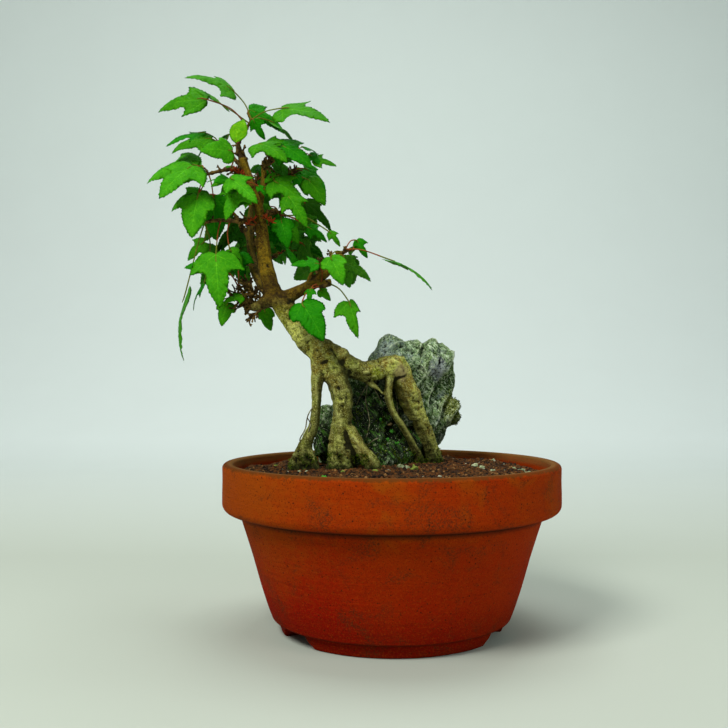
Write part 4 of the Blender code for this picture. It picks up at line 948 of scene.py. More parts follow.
def make_granules(name, count, radii, rounds, solid, obstacles, looks, shares):
    """Angular granules that lie on the soil, clear of the rock and the roots."""
    rng = random.Random(name)
    base, faces = icosphere(rounds)
    spots = []
    for _ in range(count):
        radius = (SOIL_RADIUS - 1.2) * math.sqrt(rng.random())
        turn = rng.uniform(0.0, 2.0 * math.pi)
        spots.append((radius * math.cos(turn), radius * math.sin(turn)))
    spots = np.array(spots)
    heap = Heap()
    for (x, y), level in zip(spots, soil_levels(solid, spots)):
        size = rng.uniform(*radii)
        place = Vector((x, y, level - 0.42 * size + rng.uniform(-0.2, 0.15)))
        if min(tree.find_nearest(place)[3] for tree in obstacles) < 0.5 * size:
            continue
        axis = Vector([rng.uniform(-1, 1) for _ in range(3)]).normalized()
        turned = np.array(Matrix.Rotation(rng.uniform(0.0, 6.3), 3, axis))
        lumpy = base * (1.0 + 0.28 * value_noise(base * 1.7 + rng.uniform(0, 900)))[:, None]
        lumpy = lumpy * (size * rng.uniform(0.75, 1.0), size * rng.uniform(0.9, 1.15), size * rng.uniform(0.7, 0.95))
        heap.add(lumpy @ turned.T + np.array(place), faces, rng.choices(range(len(looks)), shares)[0])
    mesh = heap.mesh(name, looks)
    mesh.polygons.foreach_set("use_smooth", [False] * len(mesh.polygons))
    add_piece(name, mesh)


def make_soil(obstacles):
    """The soil's bed, and fine and coarse granules on it."""
    solid = node_tree_mm("soil")
    make_soil_bed(solid)
    looks = [granule_look("red_granules", (0.150, 0.056, 0.013), (0.064, 0.023, 0.007)),
             granule_look("brown_granules", (0.100, 0.046, 0.014), (0.042, 0.020, 0.007)),
             granule_look("dark_granules", (0.026, 0.015, 0.008), (0.011, 0.007, 0.004)),
             granule_look("tan_granules", (0.300, 0.160, 0.050), (0.150, 0.070, 0.022)),
             granule_look("pale_grit", (0.560, 0.560, 0.400), (0.220, 0.230, 0.140))]
    make_granules("soil_granules", FINE_GRANULES, (0.55, 1.05), 1, solid, obstacles, looks, (33, 31, 32, 6, 0.5))
    make_granules("coarse_granules", COARSE_GRANULES, (0.95, 1.4), 2, solid, obstacles, looks, (33, 30, 29, 8, 0.7))


def plate_bend(place):
    """A place shifted by the bends that the rock's plates follow."""
    bend = [noise.noise(place / BEND_SIZE + Vector((0.0, 0.0, 30.0 * k))) for k in range(3)]
    return place + Vector(bend) * BEND_REACH


def crag_height(place):
    """Height of the rock's relief: plates that slope down to the left and break off, lumps and hollows."""
    share = (plate_bend(place).dot(PLATE_ACROSS) / PLATE_WIDTH) % 1.0
    plate = share / PLATE_RISE if share < PLATE_RISE else (1.0 - share) / (1.0 - PLATE_RISE)
    strength = 0.55 + noise.noise(place / PLATE_PATCH_SIZE + Vector((40.0, 0.0, 0.0)))
    lumps = noise.noise(place / LUMP_SIZE)
    hollow = sum(depth * math.exp(-((place - Vector(centre)).length / reach) ** 2)
                 for centre, reach, depth in ROCK_HOLLOWS)
    return PLATE_RELIEF * strength * (plate - 0.6) + LUMP_RELIEF * lumps - hollow


def make_rock():
    """The craggy rock: lobes grown together, broken into plates, with fine ridges and pits."""
    heap = Heap()
    base, faces = icosphere(5)
    for centre, half in ROCK_LOBES:
        heap.add(base * np.array(half) + np.array(centre), faces)
    mesh = grown_together(heap, ROCK_GRAIN)
    edges = mesh_edges(mesh)
    places = mesh_places(mesh)
    outward = relaxed(mesh_normals(mesh), edges, 4, 0.5)
    outward /= np.linalg.norm(outward, axis=1)[:, None]
    crags = np.array([crag_height(Vector(place)) for place in places])
    bent = np.array([plate_bend(Vector(place)) for place in places])
    across = bent @ np.array(PLATE_ACROSS)
    ridges = 1.0 - 2.2 * np.abs(value_noise(np.column_stack([across * 0.34, bent[:, 0] * 0.07, bent[:, 1] * 0.07]), 71))
    fine_ridges = 1.0 - 2.2 * np.abs(value_noise(np.column_stack([across * 0.8, bent[:, 0] * 0.2, bent[:, 1] * 0.2]), 73))
    rough = fractal(places * 0.22, 3, 75)
    pits = np.minimum(fractal(places * 0.5, 2, 77) + 0.35, 0.0)
    relief = 0.70 * ridges + 0.40 * fine_ridges + 0.50 * rough + 1.1 * pits
    places = places + outward * (crags + relief)[:, None]
    set_places(mesh, places)
    fine = 0.26 * (1.0 - 2.0 * np.abs(fractal(places * 0.7, 2, 79)))
    places = places + mesh_normals(mesh) * fine[:, None]
    places[:, 2] = np.maximum(places[:, 2], SOIL_LEVEL - 3.0)
    set_places(mesh, places)
    # How far the stone stands above its surroundings, kept for its painted shade and highlight.
    height_around = relaxed(crags + relief, edges, 12, 0.5)
    keep_values(mesh, "raised", np.clip(0.5 + 0.5 * (crags + relief + fine - height_around), 0.0, 1.0))
    mesh.materials.clear()
    mesh.materials.append(stone())
    mesh.polygons.foreach_set("use_smooth", [True] * len(mesh.polygons))
    add_piece("craggy_rock", mesh, ["rock"])
    return mesh


def bark_relief(places):
    """How far bark stands out at places on the limbs: flutes, lumps and wrinkles along and round each limb."""
    centres = []
    ways = []
    radii = []
    runs = []
    for number, line in enumerate(LIMBS.values()):
        fine = smooth_line(line, 1.5)
        run = 60.0 * number
        for k, place in enumerate(fine):
            along = (fine[min(k + 1, len(fine) - 1)].xyz - fine[max(k - 1, 0)].xyz).normalized()
            centres.append(place.xyz)
            ways.append(along)
            radii.append(place[3])
            runs.append(run + 1.5 * k)
    centres, ways, radii, runs = (np.array(a) for a in (centres, ways, radii, runs))
    first = np.empty(len(places), np.int64)
    meeting = np.empty(len(places))
    owner = np.floor(runs / 60.0).astype(int)
    for start in range(0, len(places), 4000):
        part = places[start:start + 4000]
        away = np.linalg.norm(part[:, None, :] - centres[None], axis=2) - radii
        best = away.argmin(1)
        first[start:start + 4000] = best
        other = np.where(owner[None, :] == owner[best][:, None], 99.0, away).min(1)
        meeting[start:start + 4000] = other - away.min(1)
    way = ways[first]
    offset = places - centres[first]
    along = runs[first] + (offset * way).sum(1)
    spoke = offset - way * (offset * way).sum(1)[:, None]
    spoke /= np.maximum(np.linalg.norm(spoke, axis=1), 0.01)[:, None]
    big = np.minimum(radii[first] / 5.0, 1.4)

    def at(run_scale, spoke_scale, seed):
        shifted = spoke * spoke_scale
        shifted[:, 0] += along * run_scale
        shifted[:, 1] += along * run_scale * 0.37
        return value_noise(shifted, seed)

    relief = 0.50 * at(0.045, 1.9, 3) + 0.38 * at(0.17, 1.3, 5) + 0.20 * at(0.62, 0.8, 7) + 0.10 * at(1.5, 2.6, 9)
    relief = relief + 0.24 * fractal(places * 0.42, 2, 13)
    toes = np.clip((106.0 - places[:, 2]) / 14.0, 0.0, 1.0)
    relief = relief + toes * 0.5 * (at(0.02, 2.0, 15) - 0.2) + toes * 0.35 * fractal(places * 0.6, 2, 17)
    relief = relief - 0.35 * np.maximum(at(0.06, 3.2, 11) - 0.25, 0.0)
    return relief * big, np.clip(1.0 - meeting / 2.6, 0.0, 1.0)


def make_wood():
    """Trunk, roots and boughs grown together, with filled crotches and bark relief."""
    heap = Heap()
    for line in LIMBS.values():
        heap.add(*swept(smooth_line(line, 2.0), 28, LIMB_LUMPS))
    for line in STUBS + SIDE_ROOTS:
        heap.add(*swept(smooth_line(line, 1.0), 16, LIMB_LUMPS))
    ball, sides = icosphere(3)
    for centre, radius in KNOTS:
        heap.add(ball * (radius * 1.1, radius, radius * 0.8) + np.array(centre), sides)
    mesh = grown_together(heap, BARK_GRAIN)
    places = mesh_places(mesh)
    edges = mesh_edges(mesh)
    relief, meeting = bark_relief(places)
    places = relaxed(places, edges, 3, 0.5)
    places = relaxed(places, edges, 26, 0.5, relaxed(meeting, edges, 3, 0.5))
    relief = relaxed(relief, edges, 6, 0.5, meeting)
    set_places(mesh, places)
    places = places + mesh_normals(mesh) * relief[:, None]
    set_places(mesh, places)
    smooth = relaxed(places, edges, 16, 0.5)
    broad = relaxed(smooth, edges, 60, 0.5)
    raised = ((places - smooth) * mesh_normals(mesh)).sum(1)
    hump = ((smooth - broad) * mesh_normals(mesh)).sum(1)
    # How far the bark stands above its surroundings, kept for its painted shade and highlight.
    keep_values(mesh, "raised", np.clip(0.5 + 1.6 * raised + 0.9 * np.minimum(hump, 0.05), 0.0, 1.0))
    mesh.materials.clear()
    mesh.materials.append(bark("maple_bark", 0.8))
    mesh.polygons.foreach_set("use_smooth", [True] * len(mesh.polygons))
    add_piece("trunk_and_boughs", mesh, LIMB_NODES)
    return mesh


def leaf_form(form):
    """The half outline of a leaf form; a lopsided leaf is a broad one with its left half drawn in."""
    return LEAF_FORMS["broad" if form == "lopsided" else form]


def in_front(tree, x, z):
    """Where a line of sight from the front meets a surface, and the way the surface faces there."""
    place, normal, _, _ = tree.ray_cast(Vector((x, -90.0, z)), Vector((0.0, 1.0, 0.0)))
    return place, normal


def make_hair_roots(rock_tree):
    """Fine roots that hang from the left root and lie on the rock's face."""
    heap = Heap()
    for line in HANGING_ROOTS:
        heap.add(*swept(smooth_line([(*p, 0.34) for p in line], 1.0), 7, 0.3))
    for line in LAID_ROOTS:
        spots = [in_front(rock_tree, p.x, p.y) for p in smooth_line([(x, z, 0.0, 0.0) for x, z in line], 1.2)]
        laid = [(*(place + normal * 0.15), 0.26) for place, normal in spots if place]
        heap.add(*swept(laid, 6, 0.3))
    look = Look("pale_root", 0.8, 0.1)
    tint = look.mix(look.span(look.noise(0.5, 3.0), 0.4, 0.6), (0.060, 0.045, 0.015), (0.340, 0.330, 0.190))
    add_piece("hair_roots", heap.mesh("hair_roots", [look.finish(tint)]))


def make_pebbles(soil_tree, rock_tree):
    """Pale and mossy pebbles on the soil, and chips caught on the rock."""
    rng = random.Random("pebbles")
    ball, sides = icosphere(3)
    heap = Heap()
    kinds = ("pale", "moss", "tan")
    spots = [(Vector((*spot, soil_levels(soil_tree, np.array([spot]))[0])), size, kind) for spot, size, kind in PEBBLES]
    spots += [(in_front(rock_tree, *spot)[0], size, kind) for spot, size, kind in ROCK_CHIPS]
    for place, size, kind in spots:
        lumpy = ball * (1.0 + 0.45 * fractal(ball * 1.4 + rng.uniform(0, 900), 2))[:, None]
        lumpy = lumpy * (size * rng.uniform(0.6, 0.95), size * rng.uniform(0.55, 0.8), size * rng.uniform(0.45, 0.65))
        turned = np.array(Matrix.Rotation(rng.uniform(0.0, 6.3), 3, "Z"))
        heap.add(lumpy @ turned.T + np.array(place), sides, kinds.index(kind))
    looks = [granule_look("pale_pebble", (0.50, 0.55, 0.34), (0.10, 0.14, 0.05)),
             granule_look("mossy_pebble", (0.30, 0.36, 0.06), (0.08, 0.13, 0.02)),
             granule_look("tan_chip", (0.38, 0.29, 0.13), (0.14, 0.09, 0.03))]
    add_piece("pebbles", heap.mesh("pebbles", looks))


def make_moss(rock_mesh, wood_mesh):
    """Tufts of moss in the rock's shaded face and on its ear, and at the feet of the roots."""
    rng = random.Random("moss")
    heap = Heap()
    for mesh, share in ((rock_mesh, 0.7), (wood_mesh, 0.3)):
        places = mesh_places(mesh)
        normals = mesh_normals(mesh)
        clumps = fractal(places * 0.22, 2, 91) > 0.15
        face = np.linalg.norm(places - (-9.0, -4.0, 108.0), axis=1) < 26.0
        ear = np.linalg.norm(places - (38.0, 24.0, 119.0), axis=1) < 9.0
        feet = (places[:, 2] < 97.0) & (places[:, 2] > SOIL_LEVEL)
        wanted = (clumps & (face | feet) if mesh == rock_mesh else clumps & feet) | ear
        numbers = np.flatnonzero(wanted & (places[:, 2] > SOIL_LEVEL))
        for _ in range(round(MOSS_TUFTS * share)):
            at = rng.choice(numbers)
            root = Vector(places[at]) - Vector(normals[at]) * 0.1
            for _ in range(4):
                way = (Vector(normals[at]) + Vector([rng.uniform(-0.8, 0.8) for _ in range(3)])).normalized()
                tip = root + way * rng.uniform(0.5, 1.2)
                heap.add(*swept([(*root, 0.20), (*tip, 0.05)], 3), rng.choice((0, 0, 1)))
    looks = [leaf_look("dark_moss", (0.042, 0.075, 0.006), 0.8), leaf_look("bright_moss", (0.150, 0.210, 0.014), 0.8)]
    add_piece("moss", heap.mesh("moss", looks))


def make_weeds(soil_tree, rock_tree, template):
    """Small seedlings on the rock's face, and a sprout in the soil near the front."""
    rng = random.Random("weeds")
    heap = Heap()
    sprout = Vector((*SPROUT, soil_levels(soil_tree, np.array([SPROUT]))[0]))
    spots = [(*in_front(rock_tree, *spot), count, size) for spot, count, size in WEEDS]
    spots.append((sprout, Vector((0.0, -0.2, 2.2)), 3, 3.6))
    for place, normal, count, size in spots:
        for _ in range(count):
            way = (normal + Vector((rng.uniform(-0.9, 0.9), rng.uniform(-0.3, 0.1), rng.uniform(0.0, 1.0)))).normalized()
            start = place + way * size * rng.uniform(0.3, 0.7)
            tip = start + (way + Vector((0.0, -0.3, 0.2))).normalized() * size * rng.uniform(0.7, 1.0)
            frame_of = blade_frame(start, tip, FRONT, rng.uniform(-30, 30))
            points, faces, _ = blade(template, start, frame_of, rng)
            heap.add(points, faces)
            heap.add(*swept([(*(place - way * 0.4), 0.22), (*(start + (tip - start) * 0.2), 0.14)], 6))
    add_piece("weeds", heap.mesh("weeds", [leaf_look("seedling", (0.120, 0.480, 0.060))]))


def half_outline(form):
    """One side of a blade's toothed outline, from its stalk to its tip."""
    made = []
    for run in leaf_form(form):
        fine = [p.xy for p in smooth_line([(x, y, 0.0, 0.0) for x, y in run], LEAF_STEP)]
        made += fine[:-1]
    made.append(Vector((0.0, 1.0)))
    for k in range(4, len(made) - 2, 2):
        outward = Vector((made[k + 1].y - made[k - 1].y, made[k - 1].x - made[k + 1].x)).normalized()
        size = LEAF_TEETH * (0.6 + 0.5 * (k % 3))
        made[k] = made[k] + (outward + (made[k + 1] - made[k]).normalized() * 0.6) * size
    return made


def vein_lines(form):
    """The veins of a blade as (start, end, width at start, width at end)."""
    lobe = Vector(leaf_form(form)[0][-1])
    lines = [((0.0, 0.0), (0.0, 0.5), 0.018, 0.011), ((0.0, 0.5), (0.0, 0.95), 0.011, 0.004)]
    for side in (-1, 1):
        lines.append(((0.0, 0.01), (side * lobe.x * 0.88, lobe.y * 0.86), 0.012, 0.004))
        for y, reach, rise in ((0.22, 0.17, 0.17), (0.37, 0.18, 0.17), (0.51, 0.155, 0.16), (0.64, 0.12, 0.14),
                               (0.77, 0.07, 0.10)):
            lines.append(((0.0, y), (side * reach * lobe.x / 0.45, y + rise), 0.006, 0.002))
        for share, turn in ((0.35, 0.13), (0.6, 0.10)):
            start = (side * lobe.x * 0.88 * share, lobe.y * 0.86 * share)
            lines.append((start, (start[0] + side * 0.02, start[1] + turn), 0.006, 0.003))
            lines.append((start, (start[0] + side * turn * 0.9, start[1] - 0.01), 0.006, 0.003))
    return lines


def leaf_template(form):
    """A blade of length 1, flat: its points, triangles, which triangles are vein, its rim, and its puffiness."""
    right = half_outline(form)
    left = [Vector((-p.x * (0.45 if form == "lopsided" else 1.0), p.y)) for p in reversed(right[1:-1])]
    outline = right + left
    count = len(outline)
    points = list(outline)
    edges = [(k, (k + 1) % count) for k in range(count)]
    strips = []
    shape = np.array([tuple(p) for p in outline])
    for start, end, wide, narrow in vein_lines(form):
        a = Vector(start)
        b = Vector(end)
        if form == "lopsided" and b.x < 0:
            b.x *= 0.4
        across = Vector((-(b - a).y, (b - a).x)).normalized()
        corners = [a + across * wide / 2, b + across * narrow / 2, b - across * narrow / 2, a - across * wide / 2]
        if not all(inside(shape, p) for p in corners[1:3]):
            continue
        strips.append((a, b, wide, narrow))
        first = len(points)
        points += [p if inside(shape, p) else p + Vector((0.0, 0.012)) for p in corners]
        edges += [(first + k, first + (k + 1) % 4) for k in range(4)]
    row = 0
    y = -0.02
    while y < 1.0:
        x = -0.5 + (row % 2) * LEAF_GRID / 2
        while x < 0.5:
            spot = Vector((x, y))
            if inside(shape, spot) and np.linalg.norm(shape - np.array(spot), axis=1).min() > 0.6 * LEAF_STEP:
                points.append(spot)
            x += LEAF_GRID
        y += LEAF_GRID * 0.87
        row += 1
    verts, _, faces, _, _, _ = delaunay_2d_cdt(points, edges, [], 1, 1e-5)
    flat = np.array([tuple(p) for p in verts])
    triangles = np.array([f for f in faces if len(f) == 3])
    centre = flat[triangles].mean(1)
    keep = np.array([inside(shape, p) for p in centre])
    triangles = triangles[keep]
    centre = centre[keep]
    nearest = np.full(len(flat), 9.0)
    vein = np.zeros(len(triangles), bool)
    for a, b, wide, narrow in strips:
        away, share = distance_to(flat, a, b)
        nearest = np.minimum(nearest, away)
        away, share = distance_to(centre, a, b)
        vein |= away < (wide + (narrow - wide) * share) / 2
    used = np.unique(triangles)
    number = np.full(len(flat), -1)
    number[used] = np.arange(len(used))
    flat = flat[used]
    triangles = number[triangles]
    puff = 1.0 - np.exp(-nearest[used] / 0.045)
    sides = np.sort(np.concatenate([triangles[:, [0, 1]], triangles[:, [1, 2]], triangles[:, [2, 0]]]), axis=1)
    pairs, shared = np.unique(sides, axis=0, return_counts=True)
    rim = np.zeros(len(flat), bool)
    rim[pairs[shared == 1].ravel()] = True
    turned = np.cross(flat[triangles[:, 1]] - flat[triangles[:, 0]], flat[triangles[:, 2]] - flat[triangles[:, 0]])
    triangles[turned < 0] = triangles[turned < 0][:, ::-1]
    return flat, triangles, vein, rim, puff


def inside(shape, spot):
    """Whether a place lies inside an outline."""
    x, y = spot
    a = shape
    b = np.roll(shape, -1, axis=0)
    crossing = (a[:, 1] > y) != (b[:, 1] > y)
    rise = np.where(crossing, b[:, 1] - a[:, 1], 1.0)
    at = a[:, 0] + (y - a[:, 1]) / rise * (b[:, 0] - a[:, 0])
    return bool((crossing & (x < at)).sum() % 2)


def distance_to(spots, start, end):
    """How far places lie from a straight line, and how far along it."""
    a = np.array(start)
    way = np.array(end) - a
    share = np.clip((spots - a) @ way / (way @ way), 0.0, 1.0)
    return np.linalg.norm(spots - a - share[:, None] * way, axis=1), share


def blade_frame(base, tip, facing, roll):
    """A blade's length, and its directions along, across and out of its upper side."""
    along = tip - base
    length = along.length
    along.normalize()
    upper = facing - along * facing.dot(along)
    if upper.length < 0.05:
        upper = Vector((0.0, 0.3, 1.0)) - along * along.z
    upper.normalize()
    turn = math.radians(roll)
    upper = upper * math.cos(turn) + along.cross(upper) * math.sin(turn)
    return length, along, along.cross(upper), upper


def blade_place(base, frame_of, x, y):
    """A place on a plain blade, with its camber and fold but no veins."""
    length, along, across, upper = frame_of
    lift = LEAF_CAMBER * 4.0 * y * (1.0 - y) - LEAF_FOLD * abs(x) ** 1.4
    return base + along * (length * y) + across * (length * x) + upper * (length * lift)


def blade(template, base, frame_of, rng):
    """Points and faces of a finished blade, closed round a thin rim, with the kind of each face.

    Kinds: 0 upper side, 1 vein on it, 2 underside, 3 vein on the underside.
    """
    flat, triangles, vein, rim, puff = template
    length, along, across, upper = frame_of
    x = flat[:, 0]
    y = flat[:, 1]
    lift = LEAF_CAMBER * 4.0 * y * (1.0 - y) - LEAF_FOLD * np.abs(x) ** 1.4
    lift = lift + VEIN_PUFF * puff - VEIN_PUFF
    phase = rng.uniform(0.0, 6.3)
    lift = lift + 0.035 * np.sin(9.0 * y + phase) * np.abs(x) * 2.0
    lift = lift + 0.02 * np.sin(5.0 * x + 4.0 * y + phase)
    droop = np.maximum(y - 0.6, 0.0)
    lift = lift - rng.uniform(0.05, 0.30) * droop ** 2
    shape = (np.array(base) + np.outer(y * length, along) + np.outer(x * length, across)
             + np.outer(lift * length, upper))
    shift = np.outer(np.where(rim, 0.0, LEAF_HALF_THICKNESS), upper)
    below = np.where(rim, np.arange(len(flat)), 0)
    inner = np.flatnonzero(~rim)
    below[inner] = len(flat) + np.arange(len(inner))
    points = np.concatenate([shape + shift, shape[inner] - shift[inner]])
    faces = [tuple(t) for t in triangles] + [tuple(t[::-1]) for t in below[triangles]]
    kinds = [1 if v else 0 for v in vein] + [3 if v else 2 for v in vein]
    return points, faces, kinds


def stalk_line(start, frame_of, base):
    """The leaf stalk's smooth line: out of the twig, over and round behind the blade, and on into it."""
    first = blade_place(base, frame_of, 0.0, 0.02)
    last = blade_place(base, frame_of, 0.0, PETIOLE_SINK)
    reach = first - start
    root = start - reach.normalized() * 0.55
    behind = (last - first).normalized()
    middle = start + reach * 0.55 + (Vector((0.0, 0.0, 0.06)) - behind * 0.14) * reach.length
    thick = 0.24 + 0.10 * min(1.0, reach.length / 14.0)
    return [(*root, 0.75), (*(root.lerp(middle, 0.12)), thick * 1.35), (*middle, thick), (*first, thick * 1.1),
            (*last, 0.22)]


def direction(bearing, climb):
    """A unit vector from a bearing round the upright axis and a climb above level, in degrees."""
    turn = math.radians(bearing)
    rise = math.radians(climb)
    return Vector((math.cos(turn) * math.cos(rise), math.sin(turn) * math.cos(rise), math.sin(rise)))


def seeded_leaves(name, stem, facing, count):
    """Leaves in opposite pairs along the outer part of a stem, each pair turned against the last."""
    rng = random.Random(name)
    places = [Vector(p[:3]) for p in smooth_line(stem, 2.0)]
    outward = math.degrees(math.atan2(places[-1].y - places[0].y, places[-1].x - places[0].x))
    made = []
    for k in range(count):
        at = places[round((len(places) - 1) * (0.45 + 0.55 * (k + 1) / count))]
        bearing = outward + (-1) ** k * (25 + 80 * ((k // 2) % 2)) + rng.uniform(-18, 18)
        climb = rng.uniform(0, 45)
        base = at + direction(bearing, climb) * rng.uniform(9, 16)
        hang = climb - rng.uniform(35, 85)
        tip = base + direction(bearing + rng.uniform(-25, 25), hang) * rng.uniform(18, 26)
        outer = (facing + direction(bearing, 0) * 0.7).normalized()
        made.append((at, base, tip, outer, rng.uniform(-20, 20)))
    return made


def leading_leaves(stem, facing, leaves):
    """The leaves that give the crown its outline, each on the nearest part of the stem's outer half."""
    places = [Vector(p[:3]) for p in smooth_line(stem, 2.0)]
    outer_half = places[len(places) // 2:]
    made = []
    for x, y, z, tip_x, tip_y, tip_z, roll, form, tone in leaves:
        base = Vector((x, y, z))
        at = min(outer_half, key=lambda p: (p - base).length)
        made.append((at, base, Vector((tip_x, tip_y, tip_z)), facing, roll, form, tone))
    return made


def stem_line(points):
    """A spray's stem, thinning from its limb to its tip."""
    first, last = STEM_RADII
    top = len(points) - 1
    return [(*p, first + (last - first) * k / top) for k, p in enumerate(points)]


def node_tree_mm(name):
    """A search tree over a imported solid, in millimetres from the pot's axis."""
    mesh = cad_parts[name].data
    places = mesh_places(mesh)
    return BVHTree.FromPolygons([tuple(p) for p in places], [tuple(f.vertices) for f in mesh.polygons])


def placed(leaf, solid):
    """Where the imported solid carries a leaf: its place in depth, or nothing where it was left out."""
    at, base, tip, facing, roll = leaf[:5]
    best = None
    for depth in DEPTH_TRIES:
        shift = Vector((0.0, depth, 0.0))
        frame_of = blade_frame(base + shift, tip + shift, facing, roll)
        spots = [blade_place(base + shift, frame_of, *spot) for spot in LEAF_CORNERS]
        worst = max(solid.find_nearest(spot)[3] for spot in spots)
        if best is None or worst < best[0]:
            best = (worst, base + shift, frame_of)
    return best[1:] if best[0] < 0.4 else None


def leaf_looks():
    """Four materials for each leaf tone: upper side, its veins, underside, its veins."""
    looks = []
    for tone, colour in TONES.items():
        vein = tuple(c * 1.3 + w for c, w in zip(colour, (0.030, 0.040, 0.004)))
        under = tuple(c * 0.8 + w for c, w in zip(colour, (0.03, 0.05, 0.012)))
        under_vein = tuple(c + 0.04 for c in under)
        looks += [leaf_look(tone + "_blade", colour), leaf_look(tone + "_vein", vein),
                  leaf_look(tone + "_underside", under, 0.7), leaf_look(tone + "_under_vein", under_vein, 0.7)]
    return looks


def add_stalk(stalks, start, frame_of, base, rng):
    """A leaf stalk, often red on the half next to its twig."""
    line = smooth_line(stalk_line(start, frame_of, base), 1.6)
    tube, sides = swept(line, 8)
    red = rng.random() < 0.6
    turn = 8 * round((len(line) - 1) * rng.uniform(0.45, 0.95))
    stalks.add(tube, sides, [0 if red and k < turn else 1 for k in range(len(sides))])


def bud(at, way, size):
    """A pointed bud's line of places and radii."""
    shares = ((-0.1, 0.5), (0.25, 1.0), (0.6, 0.8), (1.0, 0.15))
    return [(*(at + way * (2.2 * size * share)), size * wide) for share, wide in shares]


def bare_twig(twigs, start, way, length, rng):
    """A short crooked twig with a bud at its end and now and then one on its side."""
    line = [(*start, 0.62)]
    place = start
    steps = max(2, round(length / 1.6))
    for k in range(steps):
        way = (way + Vector([rng.uniform(-0.55, 0.55) for _ in range(3)])).normalized()
        place = place + way * (length / steps)
        line.append((*place, 0.58 - 0.22 * (k + 1) / steps))
        if rng.random() < 0.3:
            twigs.add(*swept(bud(place, way.cross(Vector((0.3, 1.0, 0.2))).normalized(), rng.uniform(0.4, 0.6)), 6))
    twigs.add(*swept(knobbly(smooth_line(line, 0.7), rng), 7, 0.2))
    twigs.add(*swept(bud(place, way, rng.uniform(0.45, 0.75)), 7))


def near_masses(trees, spots):
    """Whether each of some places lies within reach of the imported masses."""
    return all(any(tree.find_nearest(spot, SMALL_REACH)[0] is not None for tree in trees) for spot in spots)


def small_leaves(stem, facing, trees, rng):
    """Side twigs with small leaves, each as (start, end, its leaves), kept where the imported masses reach."""
    places = [Vector(p[:3]) for p in smooth_line(stem, 1.0)]
    made = []
    for _ in range(SMALL_TWIGS):
        at = places[round(rng.uniform(0.1, 1.0) * (len(places) - 1))]
        bearing = rng.uniform(0.0, 360.0)
        way = direction(bearing, rng.uniform(-25, 55))
        end = at + way * rng.uniform(3.0, 8.0)
        leaves = []
        for k in range(4):
            turn = bearing + rng.uniform(-100, 100)
            climb = rng.uniform(-30, 45)
            base = end + direction(turn, climb) * rng.uniform(2.0, 6.5)
            tip = base + direction(turn + rng.uniform(-30, 30), climb - rng.uniform(20, 80)) * rng.uniform(7.0, 14.0)
            outer = (facing + direction(turn, 0) * 0.8).normalized()
            frame_of = blade_frame(base, tip, outer, rng.uniform(-40, 40))
            if near_masses(trees, [end] + [blade_place(base, frame_of, *spot) for spot in LEAF_CORNERS]):
                leaves.append((base, frame_of))
        if leaves:
            made.append((at, end, leaves))
    return made


def make_leaves():
    """Every leaf with its stalk, and the twigs that carry them."""
    templates = {form: leaf_template(form) for form in [*LEAF_FORMS, "lopsided"]}
    tones = list(TONES)
    looks = leaf_looks()
    blades = Heap()
    small_blades = Heap()
    stalks = Heap()
    twigs = Heap()
    trees = {name: node_tree_mm(name) for name in SPRAYS}
    for name, rule in SPRAYS.items():
        rng = random.Random(name + "_looks")
        stem = stem_line(rule["stem"])
        twigs.add(*swept(knobbly(smooth_line(stem, 1.0), rng), 12, 0.12))
        leaves = leading_leaves(stem, rule["facing"], rule["leading"])
        for leaf in seeded_leaves(name, stem, rule["facing"], rule["seeded"]):
            form = rng.choice(("broad", "broad", "narrow", "oval"))
            leaves.append((*leaf, form, rng.choice(rule["tones"])))
        for leaf in leaves:
            found = placed(leaf, trees[name])
            if not found:
                continue
            base, frame_of = found
            form, tone = leaf[5:]
            points, faces, kinds = blade(templates[form], base, frame_of, rng)
            slot = 4 * tones.index(tone)
            blades.add(points, faces, [slot + kind for kind in kinds])
            add_stalk(stalks, leaf[0], frame_of, base, rng)
        fine = random.Random(name + "_fine")
        for at, end, leaves in small_leaves(stem, rule["facing"], trees.values(), fine):
            middle = at.lerp(end, 0.5) + Vector((0.0, 0.0, 0.6))
            twigs.add(*swept(knobbly(smooth_line([(*at, 0.6), (*middle, 0.5), (*end, 0.45)], 0.8), fine), 7, 0.15))
            for base, frame_of in leaves:
                form = fine.choice(("broad", "narrow", "oval"))
                points, faces, kinds = blade(templates[form], base, frame_of, fine)
                # Small leaves inside the crown take darker tones, partly as painted shade.
                slot = 4 * tones.index(fine.choice(("mid", "deep", "deep", "dark")))
                small_blades.add(points, faces, [slot + kind for kind in kinds])
                add_stalk(stalks, end, frame_of, base, fine)
        places = [Vector(p[:3]) for p in smooth_line(stem, 1.0)]
        for _ in range(4):
            at = fine.choice(places[1:])
            bare_twig(twigs, at, direction(fine.uniform(0, 360), fine.uniform(-20, 60)), fine.uniform(1.5, 4.0), fine)
    rng = random.Random("tangles")
    for start, middle, spread, count in TANGLES:
        for _ in range(count):
            at = Vector(start).lerp(Vector(middle), rng.uniform(0.0, 1.0))
            way = Vector(middle) - Vector(start) + Vector([rng.uniform(-spread, spread) * 1.6 for _ in range(3)])
            bare_twig(twigs, at, way.normalized(), rng.uniform(0.4, 1.2) * spread, rng)
    add_piece("leaf_blades", blades.mesh("leaf_blades", looks), list(SPRAYS))
    add_piece("small_leaf_blades", small_blades.mesh("small_leaf_blades", looks))
    stalk_looks = [leaf_look("reddish_stalk", (0.330, 0.075, 0.022)), leaf_look("green_stalk", (0.170, 0.190, 0.020))]
    add_piece("leaf_stalks", stalks.mesh("leaf_stalks", stalk_looks))
    add_piece("twigs", twigs.mesh("twigs", [twig_bark()]))
    make_bud_scales()
    return templates["egg"]


